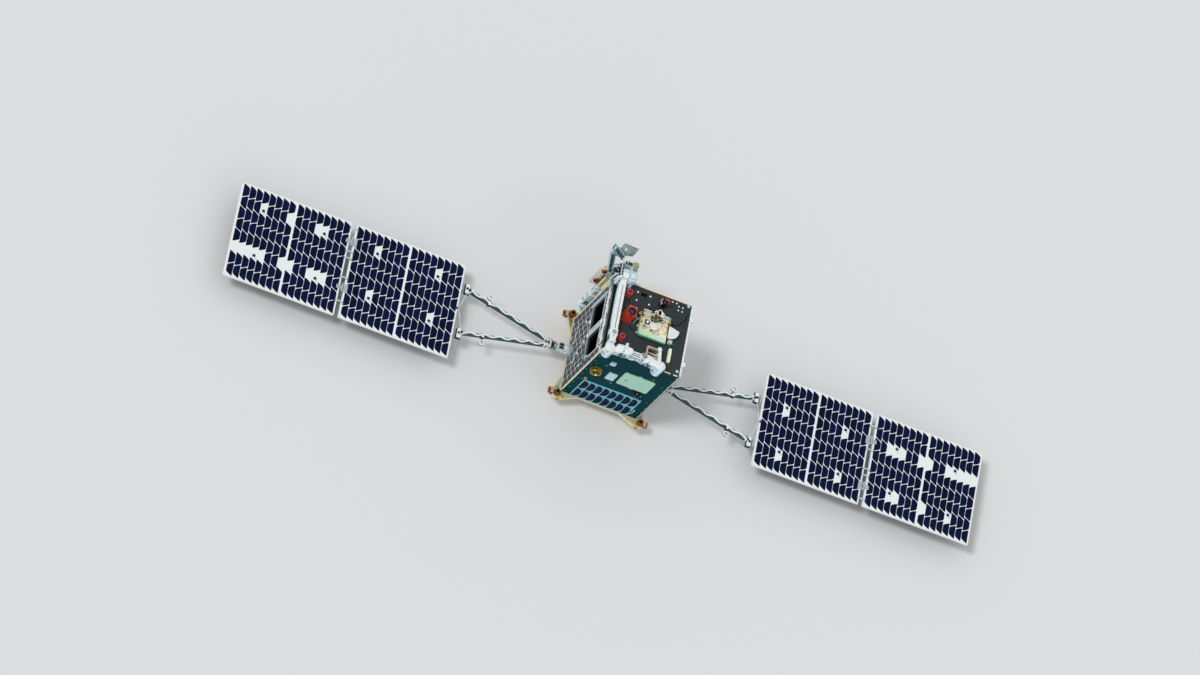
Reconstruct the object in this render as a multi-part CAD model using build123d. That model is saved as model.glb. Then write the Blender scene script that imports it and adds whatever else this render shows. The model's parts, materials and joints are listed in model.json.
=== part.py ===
# A small servicing satellite standing on its separation ring, wings spread.
# Millimetres. X runs along the wings, Z is the normal of the payload deck, and the
# origin is the centre of the separation ring's bolt circle, at floor level.
import os
from math import cos, pi, radians, sin, sqrt

from build123d import *

os.makedirs("parts", exist_ok=True)

# Bus: a box of panels on an aft deck
BUS_X = 560.0
BUS_Y = 556.0
WALL_H = 688.0
ADAPTER_H = 107.0
AFT_T = 16.0
SKIN_T = 12.0
POST_W = 6.0
LATTICE_T = 14.0
LINER_T = 4.0
DECK_SKIN_T = 6.0
DECK_CORE_T = 12.0
FIT = 0.3

# Separation ring, on a 15 inch bolt circle
RING_PCD = 381.0
RING_HOLES = 24
RING_HOLE_R = 3.4
RING_OUTER_EDGE = 12.5
RING_INNER_EDGE = 14.5
RING_WALL_T = 5.0
RING_FLANGE_T = 9.0
RING_LIP_Z = 52.0
RING_LIP_W = 9.0

# Aft deck: flares carry the thrusters beyond the corners of the bus
FLARE_START = 150.0
FLARE_X = 327.0
FLARE_Y = 332.0
FLARE_SIDE = 262.0

# Side panels: a lattice of triangles with two windows
TRI_SIDE = 62.0
RIB_W = 5.0
LATTICE_RIM = 12.0
WINDOW_DROP = 136.0
WINDOW_H = 200.0
WINDOW_Y = ((-210.0, -35.0), (15.0, 195.0))
WINDOW_FRAME = 9.0

# Wings: panels, and the yoke that carries them
PANEL_X = 790.7
PANEL_Y = 709.0
PANEL_T = 16.0
PANEL_INNER_X = 1107.6
PANEL_GAP = 31.0
PANEL_SHIFT_Y = 24.0
WING_RISE = 63.0
DRIVE_X = 407.0
DRIVE_DROP = 16.0
YOKE_T = 26.0
YOKE_W = 16.0
YOKE_ROOT_Y = 18.0
YOKE_TIP_Y = 164.0
YOKE_START = 446.0
YOKE_END = 1058.0
HINGE_R = 6.0
HINGE_PIN_R = 3.0
HINGE_FIT = 0.05
ROOT_PIN_DROP = 13.0
MID_PIN_RISE = 6.5
ROOT_HINGE_Y = (-170.0, 170.0)
MID_HINGE_Y = (163.0, -189.0)
LEAF_T = 4.0
HARNESS_BENDS = 11
HARNESS_WAVE = 4.0
HARNESS_BEND_R = 60.0
HARNESS_T = 8.0
HARNESS_H = 7.0

# Payload arm, stowed along the left and lower edges of the payload deck
ARM_X = -252.0
ARM_W = 44.0
SHOULDER_Y = 262.0
SHOULDER_RISE = 60.0
SHOULDER_R = 48.0
ELBOW = (-262.0, -312.0)
WRIST = (98.0, -312.0)
LOBE_R = 33.0
LOBE_EDGE = 7.0
LOBE_LOW = 6.0
LOBE_SPLIT = 63.0
LOBE_TOP = 114.0
SPIGOT_R = 15.0
SPIGOT_TOP = 100.0
SPIGOT_FIT = 0.05
COLLAR_R = 15.0

# Edge arm, stowed along the upper left edge of the bus
EDGE_ARM_X = -285.0
EDGE_ARM_Y = 337.0
EDGE_ARM_DROP = 274.0
EDGE_ARM_TIP_RISE = 122.0
EDGE_ARM_R = 30.0

# Flared bracket with two thrusters, on the upper left edge
BRACKET_X = 386.0
BRACKET_H = 228.0
BRACKET_RISE = 30.0
THRUSTER_GAP = 138.0
THRUSTER_INSET = 28.5

# Equipment on the lower side, by its height above the aft deck
PATCHES = ((-145.0, 557.0, 38.0, 42.0), (-88.0, 400.0, 60.0, 88.0))
HORN_AT = (-205.0, 414.0)
SUN_SENSOR_AT = (144.0, 315.0)
RADIATOR_LOW = 349.0
RADIATOR_H = 165.0
STRIP_LOW = 5.0
STRIP_H = 240.0
STRIP_X = (-215.0, 205.0)
TANK_SIDE = 300.0
TANK_H = 300.0

# Sensor head on its post at the upper left corner
HEAD_X = -330.0
HEAD_Y = 455.0
HEAD_DROP = 11.0
HEAD_PIN_R = 9.0
HEAD_ACROSS = (0.8892, 0.2265, -0.3975)
HEAD_OUTWARD = (0.2010, 0.5847, 0.7859)
HEAD_L = 139.0
HEAD_W = 95.0
HEAD_T = 37.0
POST_INNER_X = 302.0
POST_OUTER_X = 338.0
POST_SHEET = 5.0

AFT_TOP = ADAPTER_H + AFT_T
WALL_TOP = AFT_TOP + WALL_H - DECK_SKIN_T
BUS_TOP = AFT_TOP + WALL_H
HALF_X = BUS_X / 2
HALF_Y = BUS_Y / 2
RING_R = RING_PCD / 2
RING_INNER_R = RING_R - RING_INNER_EDGE
RING_OUTER_R = RING_R + RING_OUTER_EDGE
WINDOW_Z = (BUS_TOP - WINDOW_DROP - WINDOW_H, BUS_TOP - WINDOW_DROP)
EDGE_ARM_ROOT_Z = BUS_TOP - EDGE_ARM_DROP
EDGE_ARM_TIP_Z = AFT_TOP + EDGE_ARM_TIP_RISE
HEAD_Z = BUS_TOP - HEAD_DROP
WING_TOP = AFT_TOP + WING_RISE
PANEL_OUTER_X = PANEL_INNER_X + PANEL_X + PANEL_GAP
DRIVE_Z = WING_TOP - DRIVE_DROP
ROOT_PIN_X = PANEL_INNER_X - 15.6
ROOT_PIN_Z = WING_TOP - PANEL_T - ROOT_PIN_DROP
MID_PIN_X = PANEL_INNER_X + PANEL_X + PANEL_GAP / 2
MID_PIN_Z = WING_TOP + MID_PIN_RISE
SHOULDER_Z = BUS_TOP + SHOULDER_RISE
RAIL_TOP = BUS_TOP + 2
PAYLOAD_TOP = BUS_TOP + 30
LOW = (Align.CENTER, Align.CENTER, Align.MIN)


def block(xs, ys, zs):
    """A box between two x, two y and two z values."""
    size = [abs(pair[1] - pair[0]) for pair in (xs, ys, zs)]
    middle = [(pair[0] + pair[1]) / 2 for pair in (xs, ys, zs)]
    return Pos(*middle) * Box(*size)


def rod(start, end, radius):
    """A round bar from one point to another."""
    run = Vector(*end) - Vector(*start)
    return Plane(origin=start, z_dir=run) * Cylinder(radius, run.length, align=LOW)


def cone(start, end, r_start, r_end):
    """A tapered round bar from one point to another."""
    run = Vector(*end) - Vector(*start)
    return Plane(origin=start, z_dir=run) * Cone(r_start, r_end, run.length, align=LOW)


def plate(points, z_low, z_high):
    """A flat plate with a polygon outline."""
    face = make_face(Polyline(*points, close=True))
    return Pos(0, 0, z_low) * extrude(face, z_high - z_low)


def soften(part, axis, radius):
    """Round every straight edge that runs along an axis."""
    return fillet(part.edges().filter_by(axis), radius)


def flip(part):
    """The same piece on the other wing: half a turn about Z."""
    return Rot(0, 0, 180) * part


def save(name, *solids):
    """Write one node from its solids."""
    pieces = [solid for item in solids for solid in item.solids()]
    part = pieces[0] if len(pieces) == 1 else Compound(children=pieces)
    part.label = name
    export_step(part, f"parts/{name}.step")


def separation_ring():
    """A flanged ring with a clamp lip, drilled for the launcher's bolts."""
    wall_r = RING_INNER_R + RING_WALL_T
    lip_r = wall_r + RING_LIP_W
    upper_flange = ADAPTER_H - RING_FLANGE_T
    profile = [
        (RING_INNER_R, 0), (RING_OUTER_R, 0), (RING_OUTER_R, RING_FLANGE_T),
        (wall_r, RING_FLANGE_T), (wall_r, RING_LIP_Z - 8), (lip_r, RING_LIP_Z - 3),
        (lip_r, RING_LIP_Z + 3), (wall_r, RING_LIP_Z + 8), (wall_r, upper_flange),
        (RING_OUTER_R, upper_flange), (RING_OUTER_R, ADAPTER_H), (RING_INNER_R, ADAPTER_H),
    ]
    ring = revolve(Plane.XZ * make_face(Polyline(*profile, close=True)), Axis.Z)
    hole = Cylinder(RING_HOLE_R, 4 * RING_FLANGE_T)
    return ring - PolarLocations(RING_R, RING_HOLES) * hole


def aft_deck():
    """The base plate: straight edges that flare out at each corner."""
    edge_x = HALF_X + 3
    edge_y = HALF_Y + 3
    corner = [(edge_x, FLARE_START), (FLARE_X, FLARE_SIDE), (FLARE_X - 3, FLARE_Y),
              (FLARE_SIDE, FLARE_Y), (FLARE_START, edge_y)]
    outline = []
    for sx, sy in ((1, 1), (-1, 1), (-1, -1), (1, -1)):
        points = [(sx * x, sy * y) for x, y in corner]
        outline += points if sx * sy > 0 else points[::-1]
    return soften(plate(outline, ADAPTER_H, AFT_TOP), Axis.Z, 9)


def cup(start, end, mouth_r, throat_r, wall=2.5):
    """A hollow nozzle that opens towards its end point."""
    shell = cone(start, end, throat_r, mouth_r)
    run = Vector(*end) - Vector(*start)
    inner_start = Vector(*start) + run.normalized() * 6
    return shell - cone(tuple(inner_start), end, throat_r - wall, mouth_r - wall)


def aft_thrusters():
    """Three thrusters on each flare: outward pair, upward cup and side cup."""
    parts = []
    for sx in (1, -1):
        for sy in (1, -1):
            y_pod = sy * (FLARE_SIDE + 34)
            pod = block((sx * (FLARE_X - 0.5), sx * (FLARE_X + 20)), (y_pod - 23, y_pod + 23),
                        (ADAPTER_H - 4, AFT_TOP + 8))
            pod = soften(pod, Axis.Z, 7)
            pod -= block((sx * (FLARE_X - 1), sx * (FLARE_X + 0.1)), (y_pod - 30, y_pod + 30),
                         (ADAPTER_H - 9, AFT_TOP + 9))
            mid = (ADAPTER_H + AFT_TOP) / 2 + 2
            for dy in (-11, 11):
                pod += cup((sx * (FLARE_X + 18), y_pod + dy, mid),
                           (sx * (FLARE_X + 33), y_pod + dy, mid), 13, 9)
            parts.append(pod)
            up_x, up_y = FLARE_X - 25, FLARE_Y - 29
            seat = Pos(sx * up_x, sy * up_y, AFT_TOP) * Box(40, 40, 8, align=LOW)
            upward = soften(seat, Axis.Z, 6)
            upward += cup((sx * up_x, sy * up_y, AFT_TOP + 8), (sx * up_x, sy * up_y, AFT_TOP + 30), 18, 12)
            parts.append(upward)
            side_y = FLARE_Y + 0.1
            parts.append(cup((sx * (FLARE_X - 39), sy * side_y, mid - 2),
                             (sx * (FLARE_X - 39), sy * (side_y + 12), mid - 2), 9, 8))
    return parts


def skin_panel(sign):
    """A flat honeycomb panel that closes the lower or upper side."""
    edge = sign * HALF_Y
    return block((-HALF_X + POST_W, HALF_X - POST_W), (edge, edge - sign * SKIN_T), (AFT_TOP, WALL_TOP))


def corner_posts():
    """Four edge strips that join the skins to the side panels."""
    parts = []
    for sx in (1, -1):
        for sy in (1, -1):
            parts.append(block((sx * HALF_X, sx * (HALF_X - POST_W)),
                               (sy * HALF_Y, sy * (HALF_Y - SKIN_T)), (AFT_TOP, WALL_TOP)))
    return parts


def triangle_cutters(zones, x_low, x_high):
    """Prisms for each lattice triangle that lies inside one of the zones."""
    height = TRI_SIDE * sqrt(3) / 2
    inner_r = height / 3 - RIB_W / 2
    prisms = []
    rows = int(WALL_H / (TRI_SIDE / 2)) + 4
    columns = int(BUS_Y / height) + 3
    for column in range(-columns // 2, columns // 2 + 1):
        for row in range(rows):
            points_right = (row + column) % 2 == 0
            third = height / 3 if points_right else 2 * height / 3
            y_mid = column * height + third
            z_mid = AFT_TOP + row * TRI_SIDE / 2
            turn = 0 if points_right else 60
            corners = [(y_mid + 2 * inner_r * cos(radians(a + turn)),
                        z_mid + 2 * inner_r * sin(radians(a + turn))) for a in (0, 120, 240)]
            for y_zone, z_zone in zones:
                inside = all(y_zone[0] <= y <= y_zone[1] and z_zone[0] <= z <= z_zone[1]
                             for y, z in corners)
                if inside:
                    face = make_face(Plane.YZ * Polyline(*corners, close=True))
                    prisms.append(Pos(x_low, 0, 0) * extrude(face, x_high - x_low, dir=(1, 0, 0)))
    return prisms


def windows(x_low, x_high):
    """Cutters for the two window openings of a side panel."""
    return [soften(block((x_low, x_high), ys, WINDOW_Z), Axis.X, 10) for ys in WINDOW_Y]


def side_panel():
    """The left side's lattice, cut through between its ribs."""
    y_half = HALF_Y - SKIN_T
    xs = (-HALF_X, -HALF_X + LATTICE_T)
    panel = block(xs, (-y_half, y_half), (AFT_TOP, WALL_TOP))
    full_y = (-y_half + LATTICE_RIM, y_half - LATTICE_RIM)
    zones = [
        (full_y, (AFT_TOP + LATTICE_RIM, WINDOW_Z[0] - WINDOW_FRAME)),
        (full_y, (WINDOW_Z[1] + WINDOW_FRAME, WALL_TOP - LATTICE_RIM)),
    ]
    cutters = triangle_cutters(zones, xs[0] - 1, xs[1] + 1)
    return panel - cutters - windows(xs[0] - 1, xs[1] + 1)


def side_liner():
    """The thin closed sheet behind the lattice, with the same windows."""
    y_half = HALF_Y - SKIN_T
    xs = (-HALF_X + LATTICE_T, -HALF_X + LATTICE_T + LINER_T)
    return block(xs, (-y_half, y_half), (AFT_TOP, WALL_TOP)) - windows(xs[0] - 1, xs[1] + 1)


def payload_deck():
    """The forward plate: a core between the walls under a wider skin."""
    inset = LATTICE_T + LINER_T
    core = block((-HALF_X + inset, HALF_X - inset), (-HALF_Y + SKIN_T, HALF_Y - SKIN_T),
                 (WALL_TOP - DECK_CORE_T, WALL_TOP))
    skin = block((-HALF_X + POST_W, HALF_X - POST_W), (-HALF_Y + POST_W, HALF_Y - POST_W),
                 (WALL_TOP, BUS_TOP))
    slot = soften(block((-91, -49), (208, 226), (BUS_TOP - 3, BUS_TOP + 1)), Axis.Z, 8)
    return core + skin - slot


def deck_rails():
    """Edge strips round the deck's upper, left and lower edges."""
    upper = block((-HALF_X, HALF_X - POST_W), (HALF_Y - POST_W, HALF_Y), (WALL_TOP, RAIL_TOP))
    left = block((-HALF_X, -HALF_X + POST_W), (-HALF_Y + POST_W, HALF_Y - POST_W), (WALL_TOP, RAIL_TOP))
    lower = block((-HALF_X, HALF_X - POST_W), (-HALF_Y, -HALF_Y + POST_W), (WALL_TOP, RAIL_TOP))
    return upper + left + lower


def right_rail():
    """The right edge strip with its two hold-down lugs."""
    rail = block((HALF_X - POST_W, HALF_X + 3), (-HALF_Y, HALF_Y), (WALL_TOP + 0.2, BUS_TOP + 4))
    for y_mid in (165, -175):
        lug = block((HALF_X + 2, HALF_X + 20), (y_mid - 17, y_mid + 17), (WALL_TOP - 14, BUS_TOP + 2))
        rail += soften(lug, Axis.X, 6)
    return rail


def box_with_lens(xs, ys, height, lens_at, lens_r):
    """A camera: a rounded housing with a lens barrel on its outer face."""
    top = BUS_TOP + height
    body = soften(block(xs, ys, (BUS_TOP, top)), Axis.Z, 6)
    barrel = Pos(*lens_at, top) * Cylinder(lens_r, 8, align=LOW)
    barrel -= Pos(*lens_at, top + 3) * Cylinder(lens_r - 4, 8, align=LOW)
    return body + barrel


def round_camera(x, y, radius, height):
    """A small camera: a cylinder with a lens recess and a foot."""
    foot = Pos(x, y, BUS_TOP) * Cylinder(radius + 4, 5, align=LOW)
    barrel = Pos(x, y, BUS_TOP) * Cylinder(radius, height, align=LOW)
    recess = Pos(x, y, BUS_TOP + height - 5) * Cylinder(radius * 0.55, 8, align=LOW)
    return foot + barrel - recess


def payload_box():
    """The low payload housing that carries the capture mechanism."""
    return soften(block((-70, 125), (-93, 92), (BUS_TOP, PAYLOAD_TOP)), Axis.Z, 5)


def capture_mechanism():
    """Two drums, an arched collar and cross bars on the payload housing."""
    base = soften(block((-60, 115), (20, 84), (PAYLOAD_TOP, PAYLOAD_TOP + 12)), Axis.Z, 6)
    for x, y, radius, height in ((-28, 4, 30, 16), (22, -8, 33, 20)):
        drum = Pos(x, y, PAYLOAD_TOP) * Cylinder(radius, height, align=LOW)
        drum -= Pos(x, y, PAYLOAD_TOP + height - 6) * Cylinder(radius - 8, 8, align=LOW)
        drum += Pos(x, y, PAYLOAD_TOP) * Cylinder(8, height + 4, align=LOW)
        base += drum
    for x in (-42, 92):
        base += soften(block((x - 26, x + 26), (50, 82), (PAYLOAD_TOP + 10, PAYLOAD_TOP + 34)), Axis.Y, 5)
    collar = rod((46, 62, PAYLOAD_TOP + 12), (46, 94, PAYLOAD_TOP + 12), 34)
    collar -= rod((46, 60, PAYLOAD_TOP + 18), (46, 96, PAYLOAD_TOP + 18), 20)
    collar -= block((0, 100), (60, 96), (PAYLOAD_TOP - 40, PAYLOAD_TOP))
    return base + collar


def fan_reflector():
    """A quarter-disc plate on a short post with a feed below it."""
    corner = Vector(131, 38)
    line = Polyline((131, -50), (131, 38), (203, 20))
    arc = ThreePointArc((203, 20), (184, -32), (131, -50))
    face = make_face(Wire([*line.edges(), *arc.edges()]))
    fan = Pos(0, 0, BUS_TOP + 34) * extrude(face, 6)
    post = Pos(corner.X + 28, corner.Y - 45, BUS_TOP) * Cylinder(9, 34, align=LOW)
    feed = soften(block((148, 176), (-72, -44), (BUS_TOP, BUS_TOP + 18)), Axis.Z, 5)
    return fan + post + feed


def bar_antenna():
    """A round-ended bar on two feet."""
    bar = soften(block((163, 184), (-212, -107), (BUS_TOP + 4, BUS_TOP + 20)), Axis.Z, 9)
    for y in (-190, -130):
        bar += block((167, 180), (y - 6, y + 6), (BUS_TOP, BUS_TOP + 6))
    return bar


def lower_radiator():
    """The pale plate on the lower side, with a fixing tab above and below."""
    face_y = -HALF_Y
    ys = (face_y - 6, face_y)
    z_low = AFT_TOP + RADIATOR_LOW
    panel = soften(block((-33, 187), ys, (z_low, z_low + RADIATOR_H)), Axis.Y, 14)
    for z in (z_low - 2, z_low + RADIATOR_H + 2):
        panel += soften(block((62, 88), ys, (z - 6, z + 6)), Axis.Y, 3)
    return panel


def patch_antennas():
    """Two flat square antennas on the lower side."""
    parts = []
    for x, rise, width, height in PATCHES:
        z = AFT_TOP + rise
        parts.append(soften(block((x - width / 2, x + width / 2), (-HALF_Y - 7, -HALF_Y),
                                  (z - height / 2, z + height / 2)), Axis.Y, 3))
    return parts


def horn_antenna():
    """A wide short horn that opens away from the lower side."""
    x, z = HORN_AT[0], AFT_TOP + HORN_AT[1]
    horn = cup((x, -HALF_Y, z), (x, -HALF_Y - 26, z), 37, 31, 3)
    return horn + rod((x, -HALF_Y, z), (x, -HALF_Y - 5, z), 40)


def sun_sensor():
    """A stepped round sensor with a domed window."""
    x, z = SUN_SENSOR_AT[0], AFT_TOP + SUN_SENSOR_AT[1]
    foot = rod((x, -HALF_Y, z), (x, -HALF_Y - 6, z), 31)
    barrel = rod((x, -HALF_Y - 6, z), (x, -HALF_Y - 18, z), 25)
    dome = Pos(x, -HALF_Y - 12, z) * Sphere(20)
    return foot + barrel + dome - block((x - 40, x + 40), (-HALF_Y, -HALF_Y + 40), (z - 40, z + 40))


def body_solar_strip():
    """The backing sheet of the cells on the lower side."""
    return block(STRIP_X, (-HALF_Y - 4, -HALF_Y), (AFT_TOP + STRIP_LOW, AFT_TOP + STRIP_LOW + STRIP_H))


def flare_bracket():
    """A bent bracket on the upper left edge with a long thruster plate."""
    y_low, y_high = HALF_Y + BRACKET_RISE, HALF_Y + BRACKET_RISE + 10
    x_in, x_out = -BRACKET_X + 46, -BRACKET_X
    z_high = BUS_TOP - 11
    z_low = z_high - BRACKET_H
    bend = [(-HALF_X + 24, HALF_Y), (-HALF_X + 24, HALF_Y + 12), (-HALF_X - 2, HALF_Y + 16), (x_in, y_high),
            (x_in - 4, y_high), (x_in - 4, y_low), (-HALF_X - 6, HALF_Y + 4), (-HALF_X, HALF_Y)]
    flare = plate(bend, z_low + 13, z_high - 58)
    outline = [(x_out, z_low + 16), (x_out + 14, z_low), (x_in, z_low), (x_in, z_high),
               (x_out + 16, z_high), (x_out, z_high - 16)]
    face = make_face(Plane.XZ * Polyline(*outline, close=True))
    return flare + Pos(0, y_high, 0) * extrude(face, y_high - y_low)


def flare_thrusters():
    """Two short nozzles on the plate of the flared bracket."""
    parts = []
    y = HALF_Y + BRACKET_RISE - FIT / 3
    z_low = BUS_TOP - 11 - BRACKET_H + 66
    for z in (z_low, z_low + THRUSTER_GAP):
        parts.append(cup((-BRACKET_X + THRUSTER_INSET, y, z), (-BRACKET_X + THRUSTER_INSET, y - 14, z), 17, 13))
    return parts


def drive_mount():
    """The right wing's drive housing on the side wall."""
    z_mid = DRIVE_Z
    foot = soften(block((HALF_X, HALF_X + 9), (-46, 40), (z_mid - 34, z_mid + 34)), Axis.X, 8)
    body = soften(block((HALF_X + 9, 372), (-27, 24), (z_mid - 22, z_mid + 22)), Axis.X, 7)
    drum = rod((371, 0, z_mid), (384, 0, z_mid), 24)
    return foot + body + drum


def drive_hub():
    """The turning head of the drive with the two ears of the fold hinge."""
    hub = rod((384.4, 0, DRIVE_Z), (390, 0, DRIVE_Z), 22)
    hub += soften(block((389, 397.5), (-32, 32), (DRIVE_Z - 8, DRIVE_Z + 8)), Axis.X, 4)
    for y in (-25, 25):
        ear = block((397, DRIVE_X), (y - 5, y + 5), (DRIVE_Z - 9, DRIVE_Z + 9))
        ear += rod((DRIVE_X, y - 5, DRIVE_Z), (DRIVE_X, y + 5, DRIVE_Z), 9)
        hub += ear
    hub += rod((DRIVE_X, -30, DRIVE_Z), (DRIVE_X, 30, DRIVE_Z), HINGE_PIN_R)
    return hub


def yoke():
    """Two beams in a V, their root fitting and the fittings at their tips."""
    z_low = DRIVE_Z - YOKE_T / 2
    z_high = DRIVE_Z + YOKE_T / 2
    root = soften(block((DRIVE_X + 12, YOKE_START + 14), (-34, 34), (z_low, z_high)), Axis.Z, 5)
    knuckle = rod((DRIVE_X, -19.5, DRIVE_Z), (DRIVE_X, 19.5, DRIVE_Z), 9)
    knuckle += block((DRIVE_X, DRIVE_X + 13), (-19.5, 19.5), (DRIVE_Z - 9, DRIVE_Z + 9))
    knuckle -= rod((DRIVE_X, -20, DRIVE_Z), (DRIVE_X, 20, DRIVE_Z), HINGE_PIN_R + HINGE_FIT)
    part = root + knuckle
    for side in (1, -1):
        inner = (YOKE_START, side * YOKE_ROOT_Y)
        outer = (YOKE_END, side * YOKE_TIP_Y)
        beam = [(inner[0], inner[1] - YOKE_W / 2), (outer[0], outer[1] - YOKE_W / 2),
                (outer[0], outer[1] + YOKE_W / 2), (inner[0], inner[1] + YOKE_W / 2)]
        part += plate(beam, z_low, z_high)
        clamp_x = 897
        share = (clamp_x - YOKE_START) / (YOKE_END - YOKE_START)
        clamp_y = side * (YOKE_ROOT_Y + share * (YOKE_TIP_Y - YOKE_ROOT_Y))
        part += block((clamp_x - 12, clamp_x + 12), (clamp_y - 15, clamp_y + 15), (z_low - 2, z_high))
        stem_y = clamp_y + side * 32
        part += block((clamp_x - 4, clamp_x + 4), (clamp_y, stem_y), (DRIVE_Z - 4, DRIVE_Z + 4))
        eye = Pos(clamp_x, stem_y + side * 16, DRIVE_Z) * Cylinder(20, 8)
        part += eye - Pos(clamp_x, stem_y + side * 16, DRIVE_Z) * Cylinder(14, 9)
        tip_y = side * abs(ROOT_HINGE_Y[0])
        part += block((YOKE_END - 12, ROOT_PIN_X - 12), (tip_y - 38, tip_y + 38),
                      (z_low, WING_TOP - 4))
    return part


def harness():
    """A flat cable that waves along the top of both yoke beams."""
    parts = []
    z_low = DRIVE_Z + YOKE_T / 2
    slope = (YOKE_TIP_Y - YOKE_ROOT_Y) / (YOKE_END - YOKE_START)
    first_x = YOKE_START + 18
    step = (YOKE_END - 10 - first_x) / HARNESS_BENDS
    for side in (1, -1):
        points = []
        for index in range(HARNESS_BENDS + 1):
            x = first_x + index * step
            bend = HARNESS_WAVE if index % 2 else -HARNESS_WAVE
            points.append((x, side * (YOKE_ROOT_Y + slope * (x - YOKE_START)) + bend))
        spine = FilletPolyline(*points, radius=HARNESS_BEND_R)
        half = HARNESS_T / 2
        profile = Polyline((-half, 0), (half, 0), (half, HARNESS_H), (-half, HARNESS_H), close=True)
        start = Plane(origin=spine @ 0, x_dir=Vector(0, 0, 1).cross(spine % 0), z_dir=spine % 0)
        parts.append(Pos(0, 0, z_low) * sweep(start * make_face(profile), path=spine))
    return parts


def knuckles(pin_x, pin_z, centre_y, offsets, width):
    """Round barrels of one hinge leaf, each bored for its pin."""
    barrels = []
    for offset in offsets:
        y_low = centre_y + offset - width / 2
        barrels.append(rod((pin_x, y_low, pin_z), (pin_x, y_low + width, pin_z), HINGE_R))
    return barrels


def root_hinge_inner():
    """Hinge leaves on the yoke's tips, with their pins."""
    parts = []
    for y in ROOT_HINGE_Y:
        leaf = block((YOKE_END - 10, ROOT_PIN_X - 1), (y - 36, y + 36),
                     (DRIVE_Z - YOKE_T / 2 - LEAF_T, DRIVE_Z - YOKE_T / 2))
        leaf -= block((ROOT_PIN_X - 9, ROOT_PIN_X + 9), (y - 18.5, y + 18.5),
                      (DRIVE_Z - YOKE_T, DRIVE_Z))
        for barrel in knuckles(ROOT_PIN_X, ROOT_PIN_Z, y, (-27, 27), 18):
            leaf += barrel
        web = block((ROOT_PIN_X - 8, ROOT_PIN_X), (y - 36, y + 36), (ROOT_PIN_Z - 2, ROOT_PIN_Z + 4))
        leaf += web - block((ROOT_PIN_X - 20, ROOT_PIN_X + 20), (y - 18.5, y + 18.5),
                            (ROOT_PIN_Z - 20, ROOT_PIN_Z + 20))
        leaf += rod((ROOT_PIN_X, y - 38, ROOT_PIN_Z), (ROOT_PIN_X, y + 38, ROOT_PIN_Z), HINGE_PIN_R)
        parts.append(leaf)
    return parts


def root_hinge_outer():
    """Hinge leaves under the inner panel's inner edge."""
    parts = []
    for y in ROOT_HINGE_Y:
        barrel = rod((ROOT_PIN_X, y - 17.5, ROOT_PIN_Z), (ROOT_PIN_X, y + 17.5, ROOT_PIN_Z), HINGE_R)
        leaf = block((ROOT_PIN_X, PANEL_INNER_X + 34), (y - 17.5, y + 17.5),
                     (WING_TOP - PANEL_T - LEAF_T, WING_TOP - PANEL_T))
        arm = block((ROOT_PIN_X, ROOT_PIN_X + 8), (y - 17.5, y + 17.5),
                    (ROOT_PIN_Z - 3, WING_TOP - PANEL_T))
        bore = rod((ROOT_PIN_X, y - 20, ROOT_PIN_Z), (ROOT_PIN_X, y + 20, ROOT_PIN_Z),
                   HINGE_PIN_R + HINGE_FIT)
        parts.append(barrel + leaf + arm - bore)
    return parts


def mid_hinge_inner():
    """Hinge leaves on the outer edge of the inner panel, with their pins."""
    edge = PANEL_INNER_X + PANEL_X
    parts = []
    for y in MID_HINGE_Y:
        leaf = block((edge - 24, MID_PIN_X), (y - 30, y + 30), (WING_TOP, WING_TOP + 3))
        leaf -= block((edge + 4, MID_PIN_X + 20), (y - 15.5, y + 15.5), (WING_TOP - 1, WING_TOP + 20))
        for barrel in knuckles(MID_PIN_X, MID_PIN_Z, y, (-23, 23), 14):
            leaf += barrel
        leaf += rod((MID_PIN_X, y - 32, MID_PIN_Z), (MID_PIN_X, y + 32, MID_PIN_Z), HINGE_PIN_R)
        parts.append(leaf)
    return parts


def mid_hinge_outer():
    """Hinge leaves on the inner edge of the outer panel."""
    parts = []
    for y in MID_HINGE_Y:
        leaf = block((MID_PIN_X, PANEL_OUTER_X + 24), (y - 14.5, y + 14.5), (WING_TOP, WING_TOP + 3))
        leaf += rod((MID_PIN_X, y - 14.5, MID_PIN_Z), (MID_PIN_X, y + 14.5, MID_PIN_Z), HINGE_R)
        leaf -= rod((MID_PIN_X, y - 20, MID_PIN_Z), (MID_PIN_X, y + 20, MID_PIN_Z),
                    HINGE_PIN_R + HINGE_FIT)
        parts.append(leaf)
    return parts


def wing_panel(x_low):
    """A flat solar panel with slightly rounded corners."""
    ys = (PANEL_SHIFT_Y - PANEL_Y / 2, PANEL_SHIFT_Y + PANEL_Y / 2)
    return soften(block((x_low, x_low + PANEL_X), ys, (WING_TOP - PANEL_T, WING_TOP)), Axis.Z, 3)


def shoulder_housing():
    """The fixed shoulder: two cheeks with a slot for the arm between them."""
    housing = soften(block((-292, -182), (215, 345), (BUS_TOP, BUS_TOP + 112)), Axis.Z, 12)
    housing -= block((-300, -170), (HALF_Y + 0.5, 360), (BUS_TOP - 1, BUS_TOP + 24))
    housing -= block((-300, -170), (HALF_Y - POST_W - FIT, 300), (BUS_TOP - 1, RAIL_TOP + FIT))
    housing -= block((-300, -HALF_X + POST_W + FIT), (200, 360), (BUS_TOP - 1, RAIL_TOP + FIT))
    slot = block((ARM_X - ARM_W / 2 - 5.5, ARM_X + ARM_W / 2 + 5.5), (200, 326), (BUS_TOP + 6, BUS_TOP + 130))
    housing -= slot
    cap = rod((-182, SHOULDER_Y, SHOULDER_Z), (-170, SHOULDER_Y, SHOULDER_Z), 34)
    pin = rod((-286, SHOULDER_Y, SHOULDER_Z), (-190, SHOULDER_Y, SHOULDER_Z), 12)
    return housing + cap + pin


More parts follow.
